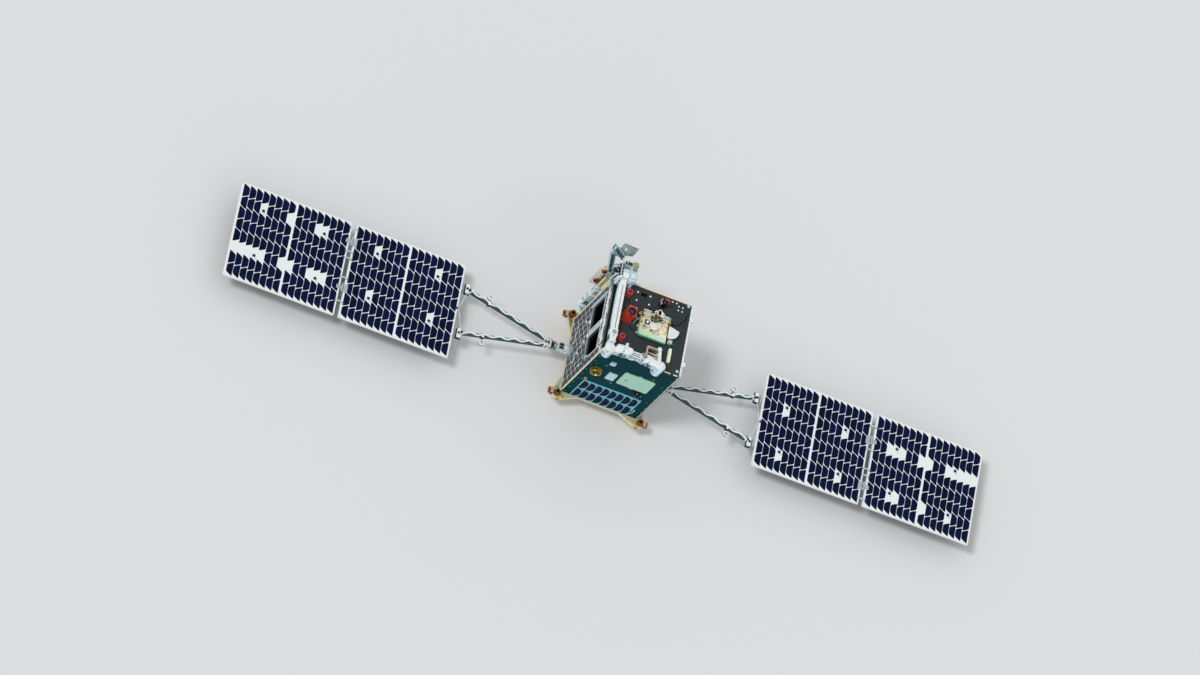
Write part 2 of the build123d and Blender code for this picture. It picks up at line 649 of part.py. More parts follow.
def upper_arm():
    """The upper link: shoulder barrel, twin tube and the lower elbow disc."""
    xs = (ARM_X - ARM_W / 2, ARM_X + ARM_W / 2)
    z_mid = SHOULDER_Z - 3
    barrel = rod((xs[0], SHOULDER_Y, SHOULDER_Z), (xs[1], SHOULDER_Y, SHOULDER_Z), SHOULDER_R)
    link = soften(block(xs, (-248, SHOULDER_Y), (z_mid - 22, z_mid + 22)), Axis.Y, 9)
    groove = block((ARM_X - 3, ARM_X + 3), (-215, 190), (z_mid + 16, z_mid + 30))
    collar = soften(block((xs[0] - 5, xs[1] + 5), (-200, -150), (z_mid - 26, z_mid + 26)), Axis.Y, 9)
    disc = lobe(ELBOW, BUS_TOP + LOBE_LOW, BUS_TOP + LOBE_SPLIT - FIT, 0)
    tongue = block((xs[0] + 1, xs[1]), (-300, -240), (BUS_TOP + LOBE_LOW + 8, BUS_TOP + LOBE_SPLIT - FIT))
    spigot = Pos(*ELBOW, BUS_TOP + LOBE_SPLIT - 20) * Cylinder(SPIGOT_R, SPIGOT_TOP - LOBE_SPLIT + 20, align=LOW)
    arm = barrel + (link - groove) + collar + disc + tongue + spigot
    return arm - rod((-300, SHOULDER_Y, SHOULDER_Z), (-180, SHOULDER_Y, SHOULDER_Z), 12 + SPIGOT_FIT)


def lobe(centre, z_low, z_high, rim_side):
    """Half of a faceted joint housing, chamfered at its outer end: -1 is the upper one, 0 the lower."""
    body = Pos(*centre, z_low) * extrude(RegularPolygon(LOBE_R, 12), z_high - z_low)
    rim = body.faces().sort_by(Axis.Z)[rim_side].edges()
    return chamfer(rim, LOBE_EDGE)


def forearm():
    """The lower link: two joint housings joined by twin bars."""
    z0 = BUS_TOP
    elbow = lobe(ELBOW, z0 + LOBE_SPLIT, z0 + LOBE_TOP, -1)
    wrist = lobe(WRIST, z0 + LOBE_SPLIT, z0 + LOBE_TOP, -1)
    first = soften(block((-212, -128), (-318, -262), (z0 + 62, z0 + 112)), Axis.X, 12)
    neck = block((-262, -205), (-330, -292), (z0 + LOBE_SPLIT, z0 + 108))
    second = soften(block((-18, 44), (-320, -272), (z0 + 60, z0 + 110)), Axis.X, 12)
    neck_two = block((40, 90), (-332, -292), (z0 + LOBE_SPLIT, z0 + 106))
    joints = rod((-132, -292, z0 + 54), (-132, -292, z0 + 118), 24)
    joints += rod((-28, -290, z0 + 54), (-28, -290, z0 + 118), 21)
    bars = block((-120, -36), (-286, -270), (z0 + 60, z0 + 96))
    bars += block((-120, -36), (-314, -298), (z0 + 60, z0 + 88))
    stub = rod((-148, -272, z0 + 86), (-148, -232, z0 + 86), 9)
    part = elbow + wrist + first + neck + second + neck_two + joints + bars + stub
    for centre in (ELBOW, WRIST):
        part -= Pos(*centre, z0 + 40) * Cylinder(SPIGOT_R + SPIGOT_FIT, SPIGOT_TOP - 38, align=LOW)
    return part


def link_bar(collar_r):
    """The last link's slanted bar and the collar at its end."""
    bar = plate([(90, -300), (118, -300), (100, -160), (76, -160)], BUS_TOP + 34, BUS_TOP + 58)
    return soften(bar, Axis.Z, 4) + Pos(88, -166, BUS_TOP + 32) * Cylinder(collar_r, 28, align=LOW)


def wrist_link():
    """The last link: a disc under the wrist with its bar."""
    z0 = BUS_TOP
    disc = lobe(WRIST, z0 + LOBE_LOW, z0 + LOBE_SPLIT - FIT, 0)
    spigot = Pos(*WRIST, z0 + LOBE_SPLIT - 20) * Cylinder(SPIGOT_R, SPIGOT_TOP - LOBE_SPLIT + 20, align=LOW)
    return disc + spigot + link_bar(COLLAR_R)


def grapple_frame():
    """An open square frame that rides on the last link."""
    z0 = BUS_TOP
    outer = block((2, 78), (-242, -168), (z0 + 36, z0 + 56))
    inner = block((9, 68), (-234, -176), (z0 + 30, z0 + 60))
    bar = block((5, 72), (-216, -210), (z0 + 42, z0 + 50))
    foot = plate([(70, -236), (83.6, -236), (78.6, -186), (70, -186)], z0 + 38, z0 + 54)
    return outer - inner + bar + foot - link_bar(COLLAR_R + FIT)


def edge_arm_base():
    """The edge arm's fixed shoulder on the upper side."""
    z = EDGE_ARM_ROOT_Z
    base = soften(block((-258, -228), (HALF_Y, EDGE_ARM_Y + 30), (z - 40, z + 16)), Axis.X, 10)
    pin = rod((-230, EDGE_ARM_Y, z), (-300, EDGE_ARM_Y, z), 10)
    return base + pin


def edge_arm_link():
    """The edge arm's link with its round ends."""
    z0, z1 = EDGE_ARM_TIP_Z, EDGE_ARM_ROOT_Z
    x0, x1 = -304, -262
    link = soften(block((x0, x1), (EDGE_ARM_Y - 20, EDGE_ARM_Y + 20), (z0, z1)), Axis.Z, 9)
    link += rod((x0 - 4, EDGE_ARM_Y, z1), (x1, EDGE_ARM_Y, z1), EDGE_ARM_R)
    link += rod((x0 - 4, EDGE_ARM_Y, z0), (x1 - 2, EDGE_ARM_Y, z0), EDGE_ARM_R)
    link += soften(block((x0 - 6, x1 + 4), (EDGE_ARM_Y - 26, EDGE_ARM_Y + 27), (z0 + 90, z0 + 170)), Axis.Z, 10)
    link += rod((x1 - 3, EDGE_ARM_Y, z0), (-234, EDGE_ARM_Y, z0), 10)
    return link - rod((-320, EDGE_ARM_Y, z1), (-250, EDGE_ARM_Y, z1), 10 + SPIGOT_FIT)


def edge_arm_wrist():
    """The edge arm's last joint and tool plate."""
    z0 = EDGE_ARM_TIP_Z
    body = rod((-261, EDGE_ARM_Y, z0), (-236, EDGE_ARM_Y, z0), 26)
    body += block((-258, -238), (EDGE_ARM_Y - 20, EDGE_ARM_Y + 20), (z0 - 66, z0))
    body += Pos(-248, EDGE_ARM_Y, z0 - 78) * Cylinder(24, 14, align=LOW)
    return body - rod((-270, EDGE_ARM_Y, z0), (-230, EDGE_ARM_Y, z0), 10 + SPIGOT_FIT)


def head_post():
    """The bent channel that holds the sensor head above the corner."""
    x_out, x_in = -POST_OUTER_X, -POST_INNER_X
    z_low, z_high = BUS_TOP - 66, HEAD_Z - 22
    foot = block((x_in, -HALF_X), (HALF_Y - 60, HALF_Y + 30), (z_low, z_high))
    foot += block((-HALF_X, -HALF_X + 18), (HALF_Y, HALF_Y + 30), (z_low, z_high))
    post = block((x_out, x_in), (HALF_Y + 2, HEAD_Y + 26), (z_low, z_high))
    post -= block((x_out + POST_SHEET, x_in - POST_SHEET), (HALF_Y + 30, HEAD_Y + 20),
                  (z_low + POST_SHEET, z_high + 1))
    ear = block((x_out - 4, x_out + 6), (HEAD_Y - 22, HEAD_Y + 26), (z_high - 10, HEAD_Z + 22))
    ear = soften(ear, Axis.X, 8)
    pin = rod((x_out - 4, HEAD_Y, HEAD_Z), (HEAD_X + 28, HEAD_Y, HEAD_Z), HEAD_PIN_R)
    return foot + post + ear + pin


def head_frame(along, drop, across, x_dir=HEAD_ACROSS):
    """The head's tilted plane, moved within the head by three lengths."""
    base = Plane(origin=(HEAD_X + 41, HEAD_Y + 45, HEAD_Z + 74.5), x_dir=HEAD_ACROSS, z_dir=HEAD_OUTWARD)
    return Plane(origin=base.from_local_coords((across, -along, -drop)), x_dir=x_dir, z_dir=HEAD_OUTWARD)


def sensor_head():
    """The tilted sensor: a wedge-shaped housing on a rail, with a lens tube."""
    corner = head_frame(0, HEAD_T, 0)
    outline = [(0, 0), (HEAD_L, 0), (HEAD_L * 0.42, -HEAD_W * 0.777), (0, -HEAD_W)]
    housing = extrude(corner * make_face(Polyline(*outline, close=True)), HEAD_T)
    rail = head_frame(40, 59, -30) * Box(12, 140, 34)
    bridge = head_frame(40, 50, -8) * Box(36, 60, 28)
    neck = head_frame(2, 66, 6) * Box(36, 28, 40)
    tube = head_frame(84, HEAD_T / 2, 34) * Rot(-125, 0, 0) * Cylinder(13, 50, align=LOW)
    barrel = rod((HEAD_X - 1.5, HEAD_Y, HEAD_Z), (HEAD_X + 44, HEAD_Y, HEAD_Z), 20)
    part = housing + rail + bridge + neck + tube + barrel
    part -= block((HEAD_X - 30, HEAD_X - 1.5), (HEAD_Y - 60, HEAD_Y + 60), (HEAD_Z - 60, HEAD_Z + 40))
    bore = rod((HEAD_X - 10, HEAD_Y, HEAD_Z), (HEAD_X + 29, HEAD_Y, HEAD_Z), HEAD_PIN_R + SPIGOT_FIT)
    return part - bore


save("separation_ring", separation_ring())
save("aft_deck", aft_deck())
save("aft_thrusters", *aft_thrusters())
save("lower_panel", skin_panel(-1))
save("upper_panel", skin_panel(1))
save("corner_posts", *corner_posts())
lattice = side_panel()
liner = side_liner()
save("left_panel", lattice)
save("left_liner", liner)
save("right_panel", flip(lattice))
save("right_liner", flip(liner))
save("payload_deck", payload_deck())
save("deck_rails", deck_rails())
save("right_rail", right_rail())
half_tank = TANK_SIDE / 2
save("propellant_tank", block((-half_tank, half_tank), (-half_tank, half_tank), (AFT_TOP, AFT_TOP + TANK_H)))
save("large_camera", box_with_lens((-195, -136), (-33, 38), 118, (-172, -8), 24))
save("upper_camera", round_camera(-183, 178, 21, 44))
save("lower_camera", round_camera(-177, -155, 20, 40))
save("right_camera", round_camera(68, 195, 24, 46))
save("payload_box", payload_box())
save("capture_mechanism", capture_mechanism())
save("fan_reflector", fan_reflector())
save("bar_antenna", bar_antenna())
save("lower_radiator", lower_radiator())
save("patch_antennas", *patch_antennas())
save("horn_antenna", horn_antenna())
save("sun_sensor", sun_sensor())
save("body_solar_strip", body_solar_strip())
save("flare_bracket", flare_bracket())
save("flare_thrusters", *flare_thrusters())
save("shoulder_housing", shoulder_housing())
save("upper_arm", upper_arm())
save("forearm", forearm())
save("wrist_link", wrist_link())
save("grapple_frame", grapple_frame())
save("edge_arm_base", edge_arm_base())
save("edge_arm_link", edge_arm_link())
save("edge_arm_wrist", edge_arm_wrist())
save("head_post", head_post())
save("sensor_head", sensor_head())

wing_nodes = (
    ("drive_mount", [drive_mount()]),
    ("drive_hub", [drive_hub()]),
    ("yoke", [yoke()]),
    ("harness", harness()),
    ("root_hinge_inner", root_hinge_inner()),
    ("root_hinge_outer", root_hinge_outer()),
    ("inner_panel", [wing_panel(PANEL_INNER_X)]),
    ("mid_hinge_inner", mid_hinge_inner()),
    ("mid_hinge_outer", mid_hinge_outer()),
    ("outer_panel", [wing_panel(PANEL_OUTER_X)]),
)
for name, solids in wing_nodes:
    save(f"right_{name}", *solids)
    save(f"left_{name}", *[flip(solid) for solid in solids])
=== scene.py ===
import json
from itertools import product
from math import atan2, copysign, cos, pi, radians, sin, sqrt

import bmesh
import bpy
from mathutils import Matrix, Vector


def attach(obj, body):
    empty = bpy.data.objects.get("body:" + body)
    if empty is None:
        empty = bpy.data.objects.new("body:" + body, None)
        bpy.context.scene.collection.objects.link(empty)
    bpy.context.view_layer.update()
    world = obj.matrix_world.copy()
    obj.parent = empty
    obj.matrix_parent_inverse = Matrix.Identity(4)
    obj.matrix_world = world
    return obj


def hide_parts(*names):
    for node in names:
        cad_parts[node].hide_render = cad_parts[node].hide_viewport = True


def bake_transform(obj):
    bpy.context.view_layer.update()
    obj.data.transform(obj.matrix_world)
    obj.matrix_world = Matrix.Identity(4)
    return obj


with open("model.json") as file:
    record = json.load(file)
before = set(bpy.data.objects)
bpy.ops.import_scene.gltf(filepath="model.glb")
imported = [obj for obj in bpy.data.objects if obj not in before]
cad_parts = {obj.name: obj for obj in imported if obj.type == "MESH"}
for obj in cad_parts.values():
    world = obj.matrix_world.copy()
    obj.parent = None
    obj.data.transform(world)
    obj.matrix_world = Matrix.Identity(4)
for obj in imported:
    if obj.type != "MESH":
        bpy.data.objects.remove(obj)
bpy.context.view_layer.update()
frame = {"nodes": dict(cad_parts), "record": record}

AFT_TOP = 123.0
BUS_TOP = 811.0
HALF_X = 280.0
HALF_Y = 278.0
WING_TOP = 186.0
PANEL_W = 790.7
PANEL_H = 709.0
PANEL_T = 16.0
DRIVE_Z = 170.0
MM = 0.001
SHARP_EDGE = radians(32)

# Directions along plus and minus X, plus and minus Y, up and down
PX, MX, PY, MY, UP, DOWN = (1, 0, 0), (-1, 0, 0), (0, 1, 0), (0, -1, 0), (0, 0, 1), (0, 0, -1)
SIGNS = (1, -1)
CORNERS = ((1, 1), (-1, 1), (-1, -1), (1, -1))


# Mesh helpers

def shift(x, y, z):
    return Matrix.Translation(Vector((x, y, z)))


def spin(angle, axis="Z"):
    return Matrix.Rotation(angle, 4, axis)


class Build:
    """Collects closed shells, each with a material number."""

    def __init__(self, place=None):
        self.verts, self.faces, self.mats = [], [], []
        self.place = self.base = place or Matrix.Identity(4)

    def add(self, verts, faces, mat):
        base = len(self.verts)
        self.verts += [self.place @ Vector(v) for v in verts]
        self.faces += [[base + i for i in face] for face in faces]
        self.mats += [mat] * len(faces)

    def at(self, place=None):
        """Moves the next shells to a place measured from the base; none goes back to the base."""
        self.place = self.base @ place if place else self.base


def frame_on(origin, axis):
    """A matrix whose Z runs along an axis, for placing shells."""
    z = Vector(axis).normalized()
    x = (Vector(UP) if abs(z.z) < 0.9 else Vector(PY)).cross(z).normalized()
    return shift(*origin) @ Matrix((x, z.cross(x), z)).transposed().to_4x4()


def skins(rings, n, closed=False):
    """Faces between rings of n points; a ring may be a single point."""
    faces = []
    for low, high in list(zip(rings, rings[1:])) + ([(rings[-1], rings[0])] if closed else []):
        for i in range(n if len(low) + len(high) > 2 else 0):
            j = (i + 1) % n
            if len(low) == 1:
                faces.append([low[0], high[j], high[i]])
            elif len(high) == 1:
                faces.append([low[i], low[j], high[0]])
            else:
                faces.append([low[i], low[j], high[j], high[i]])
    if not closed:
        faces += [ring for ring in (list(rings[0])[::-1], list(rings[-1])) if len(ring) > 1]
    return faces


def box(b, x0, x1, y0, y1, z0, z1, mat=0, chamfer=1.0):
    """A block with chamfered edges."""
    mid = [(x0 + x1) / 2, (y0 + y1) / 2, (z0 + z1) / 2]
    half = [abs(x1 - x0) / 2, abs(y1 - y0) / 2, abs(z1 - z0) / 2]
    cut = min(chamfer, 0.98 * min(half))
    verts = [[mid[k] + signs[k] * (half[k] - (0 if k == axis else cut)) for k in range(3)]
             for signs in product((-1, 1), repeat=3) for axis in range(3)]

    def at(x, y, z, axis):
        return ((x > 0) * 4 + (y > 0) * 2 + (z > 0)) * 3 + axis

    faces = []
    loop = ((-1, -1), (1, -1), (1, 1), (-1, 1))
    for s in (-1, 1):
        faces += [[at(s, p, q, 0) for p, q in loop], [at(p, s, q, 1) for p, q in loop],
                  [at(p, q, s, 2) for p, q in loop]]
        for t in (-1, 1):
            faces += [[at(-1, s, t, 1), at(1, s, t, 1), at(1, s, t, 2), at(-1, s, t, 2)],
                      [at(s, -1, t, 0), at(s, 1, t, 0), at(s, 1, t, 2), at(s, -1, t, 2)],
                      [at(s, t, -1, 0), at(s, t, 1, 0), at(s, t, 1, 1), at(s, t, -1, 1)]]
            faces += [[at(s, t, u, k) for k in range(3)] for u in (-1, 1)]
    b.add(verts, faces, mat)


def boxes(b, *rows):
    """Blocks from rows of x0, x1, y0, y1, z0, z1, material, chamfer."""
    for row in rows:
        box(b, *row)


def blocks(b, points, size, mat=0, chamfer=1.0):
    """Blocks of one size about the given middles."""
    for x, y, z in points:
        box(b, x - size[0] / 2, x + size[0] / 2, y - size[1] / 2, y + size[1] / 2, z - size[2] / 2, z + size[2] / 2,
            mat, chamfer)


def plates(b, centre, axis, n, sizes, mats, chamfer, phase=0.0):
    """Blocks of one size turned round the X or Z axis through a point; the phase counts in steps."""
    for k in range(n):
        b.at(shift(*centre) @ spin(2 * pi * (k + phase) / n, axis))
        box(b, *sizes, mats[k % len(mats)], chamfer)
    b.at()


def lathe(b, origin, axis, profile, mat=0, n=20, closed=False):
    """Turns a profile of (radius, height) pairs about an axis."""
    place = frame_on(origin, axis)
    verts, rings = [], []
    for r, h in profile:
        count = 1 if r < 1e-6 else n
        rings.append(list(range(len(verts), len(verts) + count)))
        verts += [place @ Vector((r * cos(2 * pi * i / n), r * sin(2 * pi * i / n), h)) for i in range(count)]
    b.add(verts, skins(rings, n, closed), mat)


def cap(b, origin, axis, sizes, mat=0, n=28, low=-0.4):
    """A round cover with a chamfered rim and a dished middle."""
    r, h, r_top, h_top, r_dish, r_floor, h_floor = sizes
    lathe(b, origin, axis, [(0, low), (r, low), (r, h), (r_top, h_top), (r_dish, h_top), (r_floor, h_floor),
                            (0, h_floor)], mat, n)


def joint_ring(b, origin, half=1.6, r=33.6, r_mid=34.2):
    """The rounded band round an arm's joint."""
    lathe(b, origin, UP, [(30.5, -half), (r, -half), (r_mid, 0), (r, half), (30.5, half)], 0, 36, True)


def bead(b, origin, axis, r, tube_r, mat=0, n=24, m=8):
    """A ring with a round section."""
    profile = [(r + tube_r * cos(2 * pi * i / m), tube_r * sin(2 * pi * i / m)) for i in range(m)]
    lathe(b, origin, axis, profile, mat, n, True)


def beads(b, points, *sizes):
    for point in points:
        bead(b, point, *sizes)


def drum(b, origin, axis, r, h, mat=0, n=24, edge=1.0):
    """A cylinder with chamfered rims."""
    lathe(b, origin, axis, [(0, 0), (r - edge, 0), (r, edge), (r, h - edge), (r - edge, h), (0, h)], mat, n)


def drums(b, points, *sizes):
    for point in points:
        drum(b, point, *sizes)


def bolts(b, points, axis, r=4.0, mat=0):
    """Washers, each under a hexagonal head with a socket."""
    h = r * 0.9
    for point in points:
        lathe(b, point, axis, [(0, -0.2), (r * 1.45, -0.2), (r * 1.5, 0.3), (r * 1.3, 0.8), (0, 0.8)], mat, 12)
        lathe(b, point, axis, [(0, 0.5), (r, 0.5), (r, h - 0.4), (r * 0.85, h), (r * 0.45, h), (r * 0.4, h * 0.5),
                               (0, h * 0.5)], mat, 6)


def grid(*lists):
    """Every point with one X, one Y and one Z; a bare number stands for one value."""
    return product(*(v if isinstance(v, (tuple, range)) else (v,) for v in lists))


def around(centre, axis, r, n, phase=0.0):
    """Points evenly round a circle about X, Y or Z; the phase counts in steps."""
    u, v = [k for k in range(3) if not axis[k]]
    for k in range(n):
        a = 2 * pi * (k + phase) / n
        point = list(centre)
        point[u] += r * cos(a)
        point[v] += r * sin(a)
        yield tuple(point)


def smooth_path(points, steps):
    """Points on a smooth line through the given points."""
    pts = [Vector(p) for p in points]
    pts = [pts[0] * 2 - pts[1]] + pts + [pts[-1] * 2 - pts[-2]]
    out = []
    for p0, p1, p2, p3 in zip(pts, pts[1:], pts[2:], pts[3:]):
        for t in (k / steps for k in range(steps)):
            out.append(0.5 * ((2 * p1) + (p2 - p0) * t + (2 * p0 - 5 * p1 + 4 * p2 - p3) * t * t
                              + (3 * p1 - 3 * p2 + p3 - p0) * t ** 3))
    return out + [pts[-2]]


def tube(b, points, r, mat=0, n=8, smooth=6):
    """A round cable or pipe through points."""
    path = smooth_path(points, smooth) if smooth else [Vector(p) for p in points]
    verts, normal = [], None
    for i, p in enumerate(path):
        tangent = (path[min(i + 1, len(path) - 1)] - path[max(i - 1, 0)]).normalized()
        hint = normal or Vector(UP if abs(tangent.z) < 0.9 else PX)
        normal = (hint - tangent * hint.dot(tangent)).normalized()
        side = tangent.cross(normal)
        verts += [p + (normal * cos(2 * pi * k / n) + side * sin(2 * pi * k / n)) * r for k in range(n)]
    b.add(verts, skins([range(i * n, i * n + n) for i in range(len(path))], n), mat)


def tubes(b, *rows):
    """Cables from rows of radius, material and points."""
    for r, mat, *points in rows:
        tube(b, points, r, mat)


def strut(b, start, end, r, mat=0, ends=None):
    """A thin rod, with collars at its ends where they have a material."""
    tube(b, [start, end], r, mat, 8, 0)
    axis = Vector(end) - Vector(start)
    if ends is not None:
        drums(b, (start, Vector(end) - axis.normalized() * r * 2.2), axis, r * 1.7, r * 2.2, ends, 12, r * 0.3)


def inset(outline, d):
    """An outline moved inwards by a distance; it runs anticlockwise."""
    out = []
    points = [Vector(p) for p in outline]
    for a, p, c in zip(points[-1:] + points, points, points[1:] + points[:1]):
        e1, e2 = (p - a).normalized(), (c - p).normalized()
        mid = Vector((-e1.y, e1.x)) + Vector((-e2.y, e2.x))
        out.append(p + mid * (d / max(mid.dot(Vector((-e1.y, e1.x))), 0.2)))
    return out


def signed_area(points):
    return sum(p[0] * q[1] - q[0] * p[1] for p, q in zip(points, points[1:] + points[:1])) / 2


def prism(b, outline, low, high, mat=0, chamfer=0.0, place=None):
    """An outline raised along Z, with its upper rim chamfered."""
    ring = list(outline) if signed_area(outline) > 0 else list(outline)[::-1]
    levels = [(ring, low), (ring, high - chamfer)] + ([(inset(ring, chamfer), high)] if chamfer else [])
    place = place or Matrix.Identity(4)
    count = len(ring)
    verts = [place @ Vector((p[0], p[1], z)) for points, z in levels for p in points]
    b.add(verts, skins([range(k * count, k * count + count) for k in range(len(levels))], count), mat)


def rounded(x0, x1, y0, y1, r, n=4):
    """A rectangle's outline with round corners."""
    corners = ((x1 - r, y1 - r, 0), (x0 + r, y1 - r, 90), (x0 + r, y0 + r, 180), (x1 - r, y0 + r, 270))
    return [(x + r * cos(radians(start + 90 * k / n)), y + r * sin(radians(start + 90 * k / n)))
            for x, y, start in corners for k in range(n + 1)]


def pads(b, low, high, mat, chamfer, r, n, *zones):
    """Raised plates with round corners over zones of x0, x1, y0, y1."""
    for zone in zones:
        prism(b, rounded(*zone, r, n), low, high, mat, chamfer)


def piece(name, b, body, materials, attribute=None):
    """Makes one object from the shells and puts it on its body."""
    mesh = bpy.data.meshes.new(name)
    mesh.from_pydata([v * MM for v in b.verts], [], b.faces)
    for key in materials.split():
        mesh.materials.append(MAT[key])
    mesh.polygons.foreach_set("material_index", b.mats)
    work = bmesh.new()
    work.from_mesh(mesh)
    bmesh.ops.recalc_face_normals(work, faces=work.faces)
    for face in work.faces:
        face.smooth = True
    for edge in work.edges:
        edge.smooth = len(edge.link_faces) == 2 and edge.calc_face_angle(0) < SHARP_EDGE
    work.to_mesh(mesh)
    work.free()
    if attribute:
        mesh.attributes.new("tone", "FLOAT", "FACE").data.foreach_set("value", attribute)
    obj = bpy.data.objects.new(name, mesh)
    bpy.context.scene.collection.objects.link(obj)
    if body:
        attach(obj, body)
    return obj


# Materials

MAT = {}


def rgb(code):
    """A hex colour as linear values."""
    values = [int(code[i:i + 2], 16) / 255 for i in (0, 2, 4)]
    return [v / 12.92 if v <= 0.04045 else ((v + 0.055) / 1.055) ** 2.4 for v in values]


def socket(code):
    return (*rgb(code), 1.0)


def scaled(colour, share):
    return [v * share for v in colour]


class Nodes:
    """Short ways to add and join shader nodes; the material is kept under its name."""

    def __init__(self, name):
        MAT[name] = self.material = bpy.data.materials.new(name)
        self.material.use_nodes = True
        self.tree = self.material.node_tree
        self.inputs = self.tree.nodes["Principled BSDF"].inputs
        self.coords = self.node("TexCoord").outputs["Object"]

    def node(self, kind, **settings):
        node = self.tree.nodes.new("ShaderNode" + kind)
        for key, value in settings.items():
            if key in node.inputs:
                node.inputs[key].default_value = value
            else:
                setattr(node, key, value)
        return node

    def join(self, output, target):
        self.tree.links.new(output, target)

    def fill(self, target, source):
        """Sets a socket to a value, or joins an output to it."""
        if isinstance(source, (int, float)):
            target.default_value = source
        elif isinstance(source, (list, tuple)):
            target.default_value = (*source, 1.0)
        else:
            self.join(source, target)

    def set(self, **values):
        """Fills the shader's own sockets; an underscore stands for a space."""
        for key, value in values.items():
            self.fill(self.inputs[key.replace("_", " ")], value)

    def mapped(self, kind, **settings):
        """A texture node on the object's coordinates."""
        node = self.node(kind, **settings)
        self.join(self.coords, node.inputs["Vector"])
        return node

    def noise(self, scale, detail=3.0, coords=None):
        node = self.node("TexNoise", Scale=scale, Detail=detail, Roughness=0.5)
        self.join(coords or self.coords, node.inputs["Vector"])
        return node.outputs["Fac"]

    def spread(self, value, low, high, out_low=0.0, out_high=1.0):
        node = self.node("MapRange", **{"From Min": low, "From Max": high, "To Min": out_low, "To Max": out_high})
        self.join(value, node.inputs["Value"])
        return node.outputs["Result"]

    def blend(self, factor, first, second):
        node = self.node("Mix", data_type="RGBA")
        for key, source in ((0, factor), (6, first), (7, second)):
            self.fill(node.inputs[key], rgb(source) if isinstance(source, str) else source)
        return node.outputs[2]

    def math(self, mode, first, second=0.5):
        node = self.node("Math", operation=mode)
        self.fill(node.inputs[0], first)
        self.fill(node.inputs[1], second)
        return node.outputs[0]

    def bump(self, height, strength, distance):
        node = self.node("Bump", Strength=strength, Distance=distance)
        self.join(height, node.inputs["Height"])
        self.join(node.outputs["Normal"], self.inputs["Normal"])

    def part(self, source, key):
        """X, Y or Z of a vector."""
        node = self.node("SeparateXYZ")
        self.join(source, node.inputs[0])
        return node.outputs[key]

    def facing(self, key):
        """X, Y or Z of the surface's own normal."""
        return self.part(self.node("TexCoord").outputs["Normal"], key)


def paint(name, code, rough=0.5, metal=0.0, vary=0.10, grain=60.0, dirt=6.0, coat=0.0, streak=None, painted_light_by_facing=None,
          shine=0.5):
    """A painted, coated or plain metal surface with mottling, grain and uneven gloss; faces turned one way can be
    blended to a colour of painted light or shade.
    """
    n = Nodes(name)
    base = rgb(code)
    light = [min(v * (1 + vary * 0.8) + 0.004 * vary, 1.0) for v in base]
    fine = n.noise(grain, 4.0, n.mapped("Mapping", Scale=streak).outputs["Vector"] if streak else None)
    colour = n.blend(n.spread(fine, 0.3, 0.7), scaled(base, 1 - vary), light)
    colour = n.blend(n.spread(n.noise(dirt), 0.35, 0.7, 0.0, 0.35), colour, scaled(base, 1 - 1.6 * vary))
    # Painted light and shade: faces turned along one axis are blended towards another colour.
    if painted_light_by_facing:
        painted_light_code, axis, low, high, share = painted_light_by_facing
        colour = n.blend(n.spread(n.facing(axis), low, high, 0.0, share), colour, painted_light_code)
    n.set(Base_Color=colour, Roughness=n.spread(fine, 0.25, 0.75, max(rough - 0.08, 0.05), min(rough + 0.1, 1.0)),
          Metallic=metal, Specular_IOR_Level=shine, Coat_Weight=coat, Coat_Roughness=0.12)
    n.bump(fine, 0.12, 0.0004)


def cell_finish(name, code, edge_code):
    """Solar cell: dark blue with fine fingers, a tone of its own and a clear cover."""
    n = Nodes(name)
    tone = n.node("Attribute", attribute_name="tone").outputs["Fac"]
    colour = n.blend(n.spread(tone, 0.0, 1.0), code, edge_code)
    colour = n.blend(n.spread(n.noise(3.0, 2.0), 0.35, 0.7, 0.0, 0.3), colour, "081440")
    wave = n.mapped("TexWave", wave_type="BANDS", bands_direction="Y", Scale=160.0, Distortion=0.0)
    colour = n.blend(n.spread(wave.outputs["Fac"], 0.86, 1.0, 0.0, 0.06), colour, "4d5b86")
    n.set(Base_Color=colour, Roughness=n.spread(n.noise(900.0, 2.0), 0.2, 0.8, 0.22, 0.34), Specular_IOR_Level=0.05,
          Coat_Weight=0.02, Coat_Roughness=0.08)


def panel_finish(name):
    """White face sheet over a dark woven laminate on the back."""
    n = Nodes(name)
    fine = n.noise(140.0, 4.0)
    white = n.blend(n.spread(fine, 0.3, 0.7), "e6eae9", "f7f9f8")
    weave = n.mapped("TexChecker", Scale=260.0, Color1=socket("15191b"), Color2=socket("23292c"))
    n.set(Base_Color=n.blend(n.spread(n.facing("Z"), -0.5, -0.6), white, weave.outputs["Color"]),
          Roughness=n.spread(fine, 0.25, 0.75, 0.42, 0.58))
    n.bump(fine, 0.1, 0.0003)


def weave_finish(name, first, second, scale, coat):
    """A woven laminate or braid with small checks."""
    n = Nodes(name)
    weave = n.mapped("TexChecker", Scale=scale, Color1=socket(first), Color2=socket(second))
    fine = n.noise(90.0)
    n.set(Base_Color=n.blend(n.spread(fine, 0.3, 0.75, 0.0, 0.35), weave.outputs["Color"], first),
          Roughness=n.spread(fine, 0.3, 0.7, 0.42, 0.6), Coat_Weight=coat)
    n.bump(weave.outputs["Fac"], 0.15, 0.0002)


def glass_finish(name, code):
    """A coated lens: dark, glossy, with a coloured painted reflection towards its edge."""
    n = Nodes(name)
    painted_sheen = n.blend(n.spread(n.noise(30.0, 2.0), 0.3, 0.7), "1d3f86", "4b2f86")
    n.set(Base_Color=n.blend(n.node("LayerWeight", Blend=0.35).outputs["Facing"], code, painted_sheen), Roughness=0.06,
          Coat_Weight=1.0, Coat_Roughness=0.02)


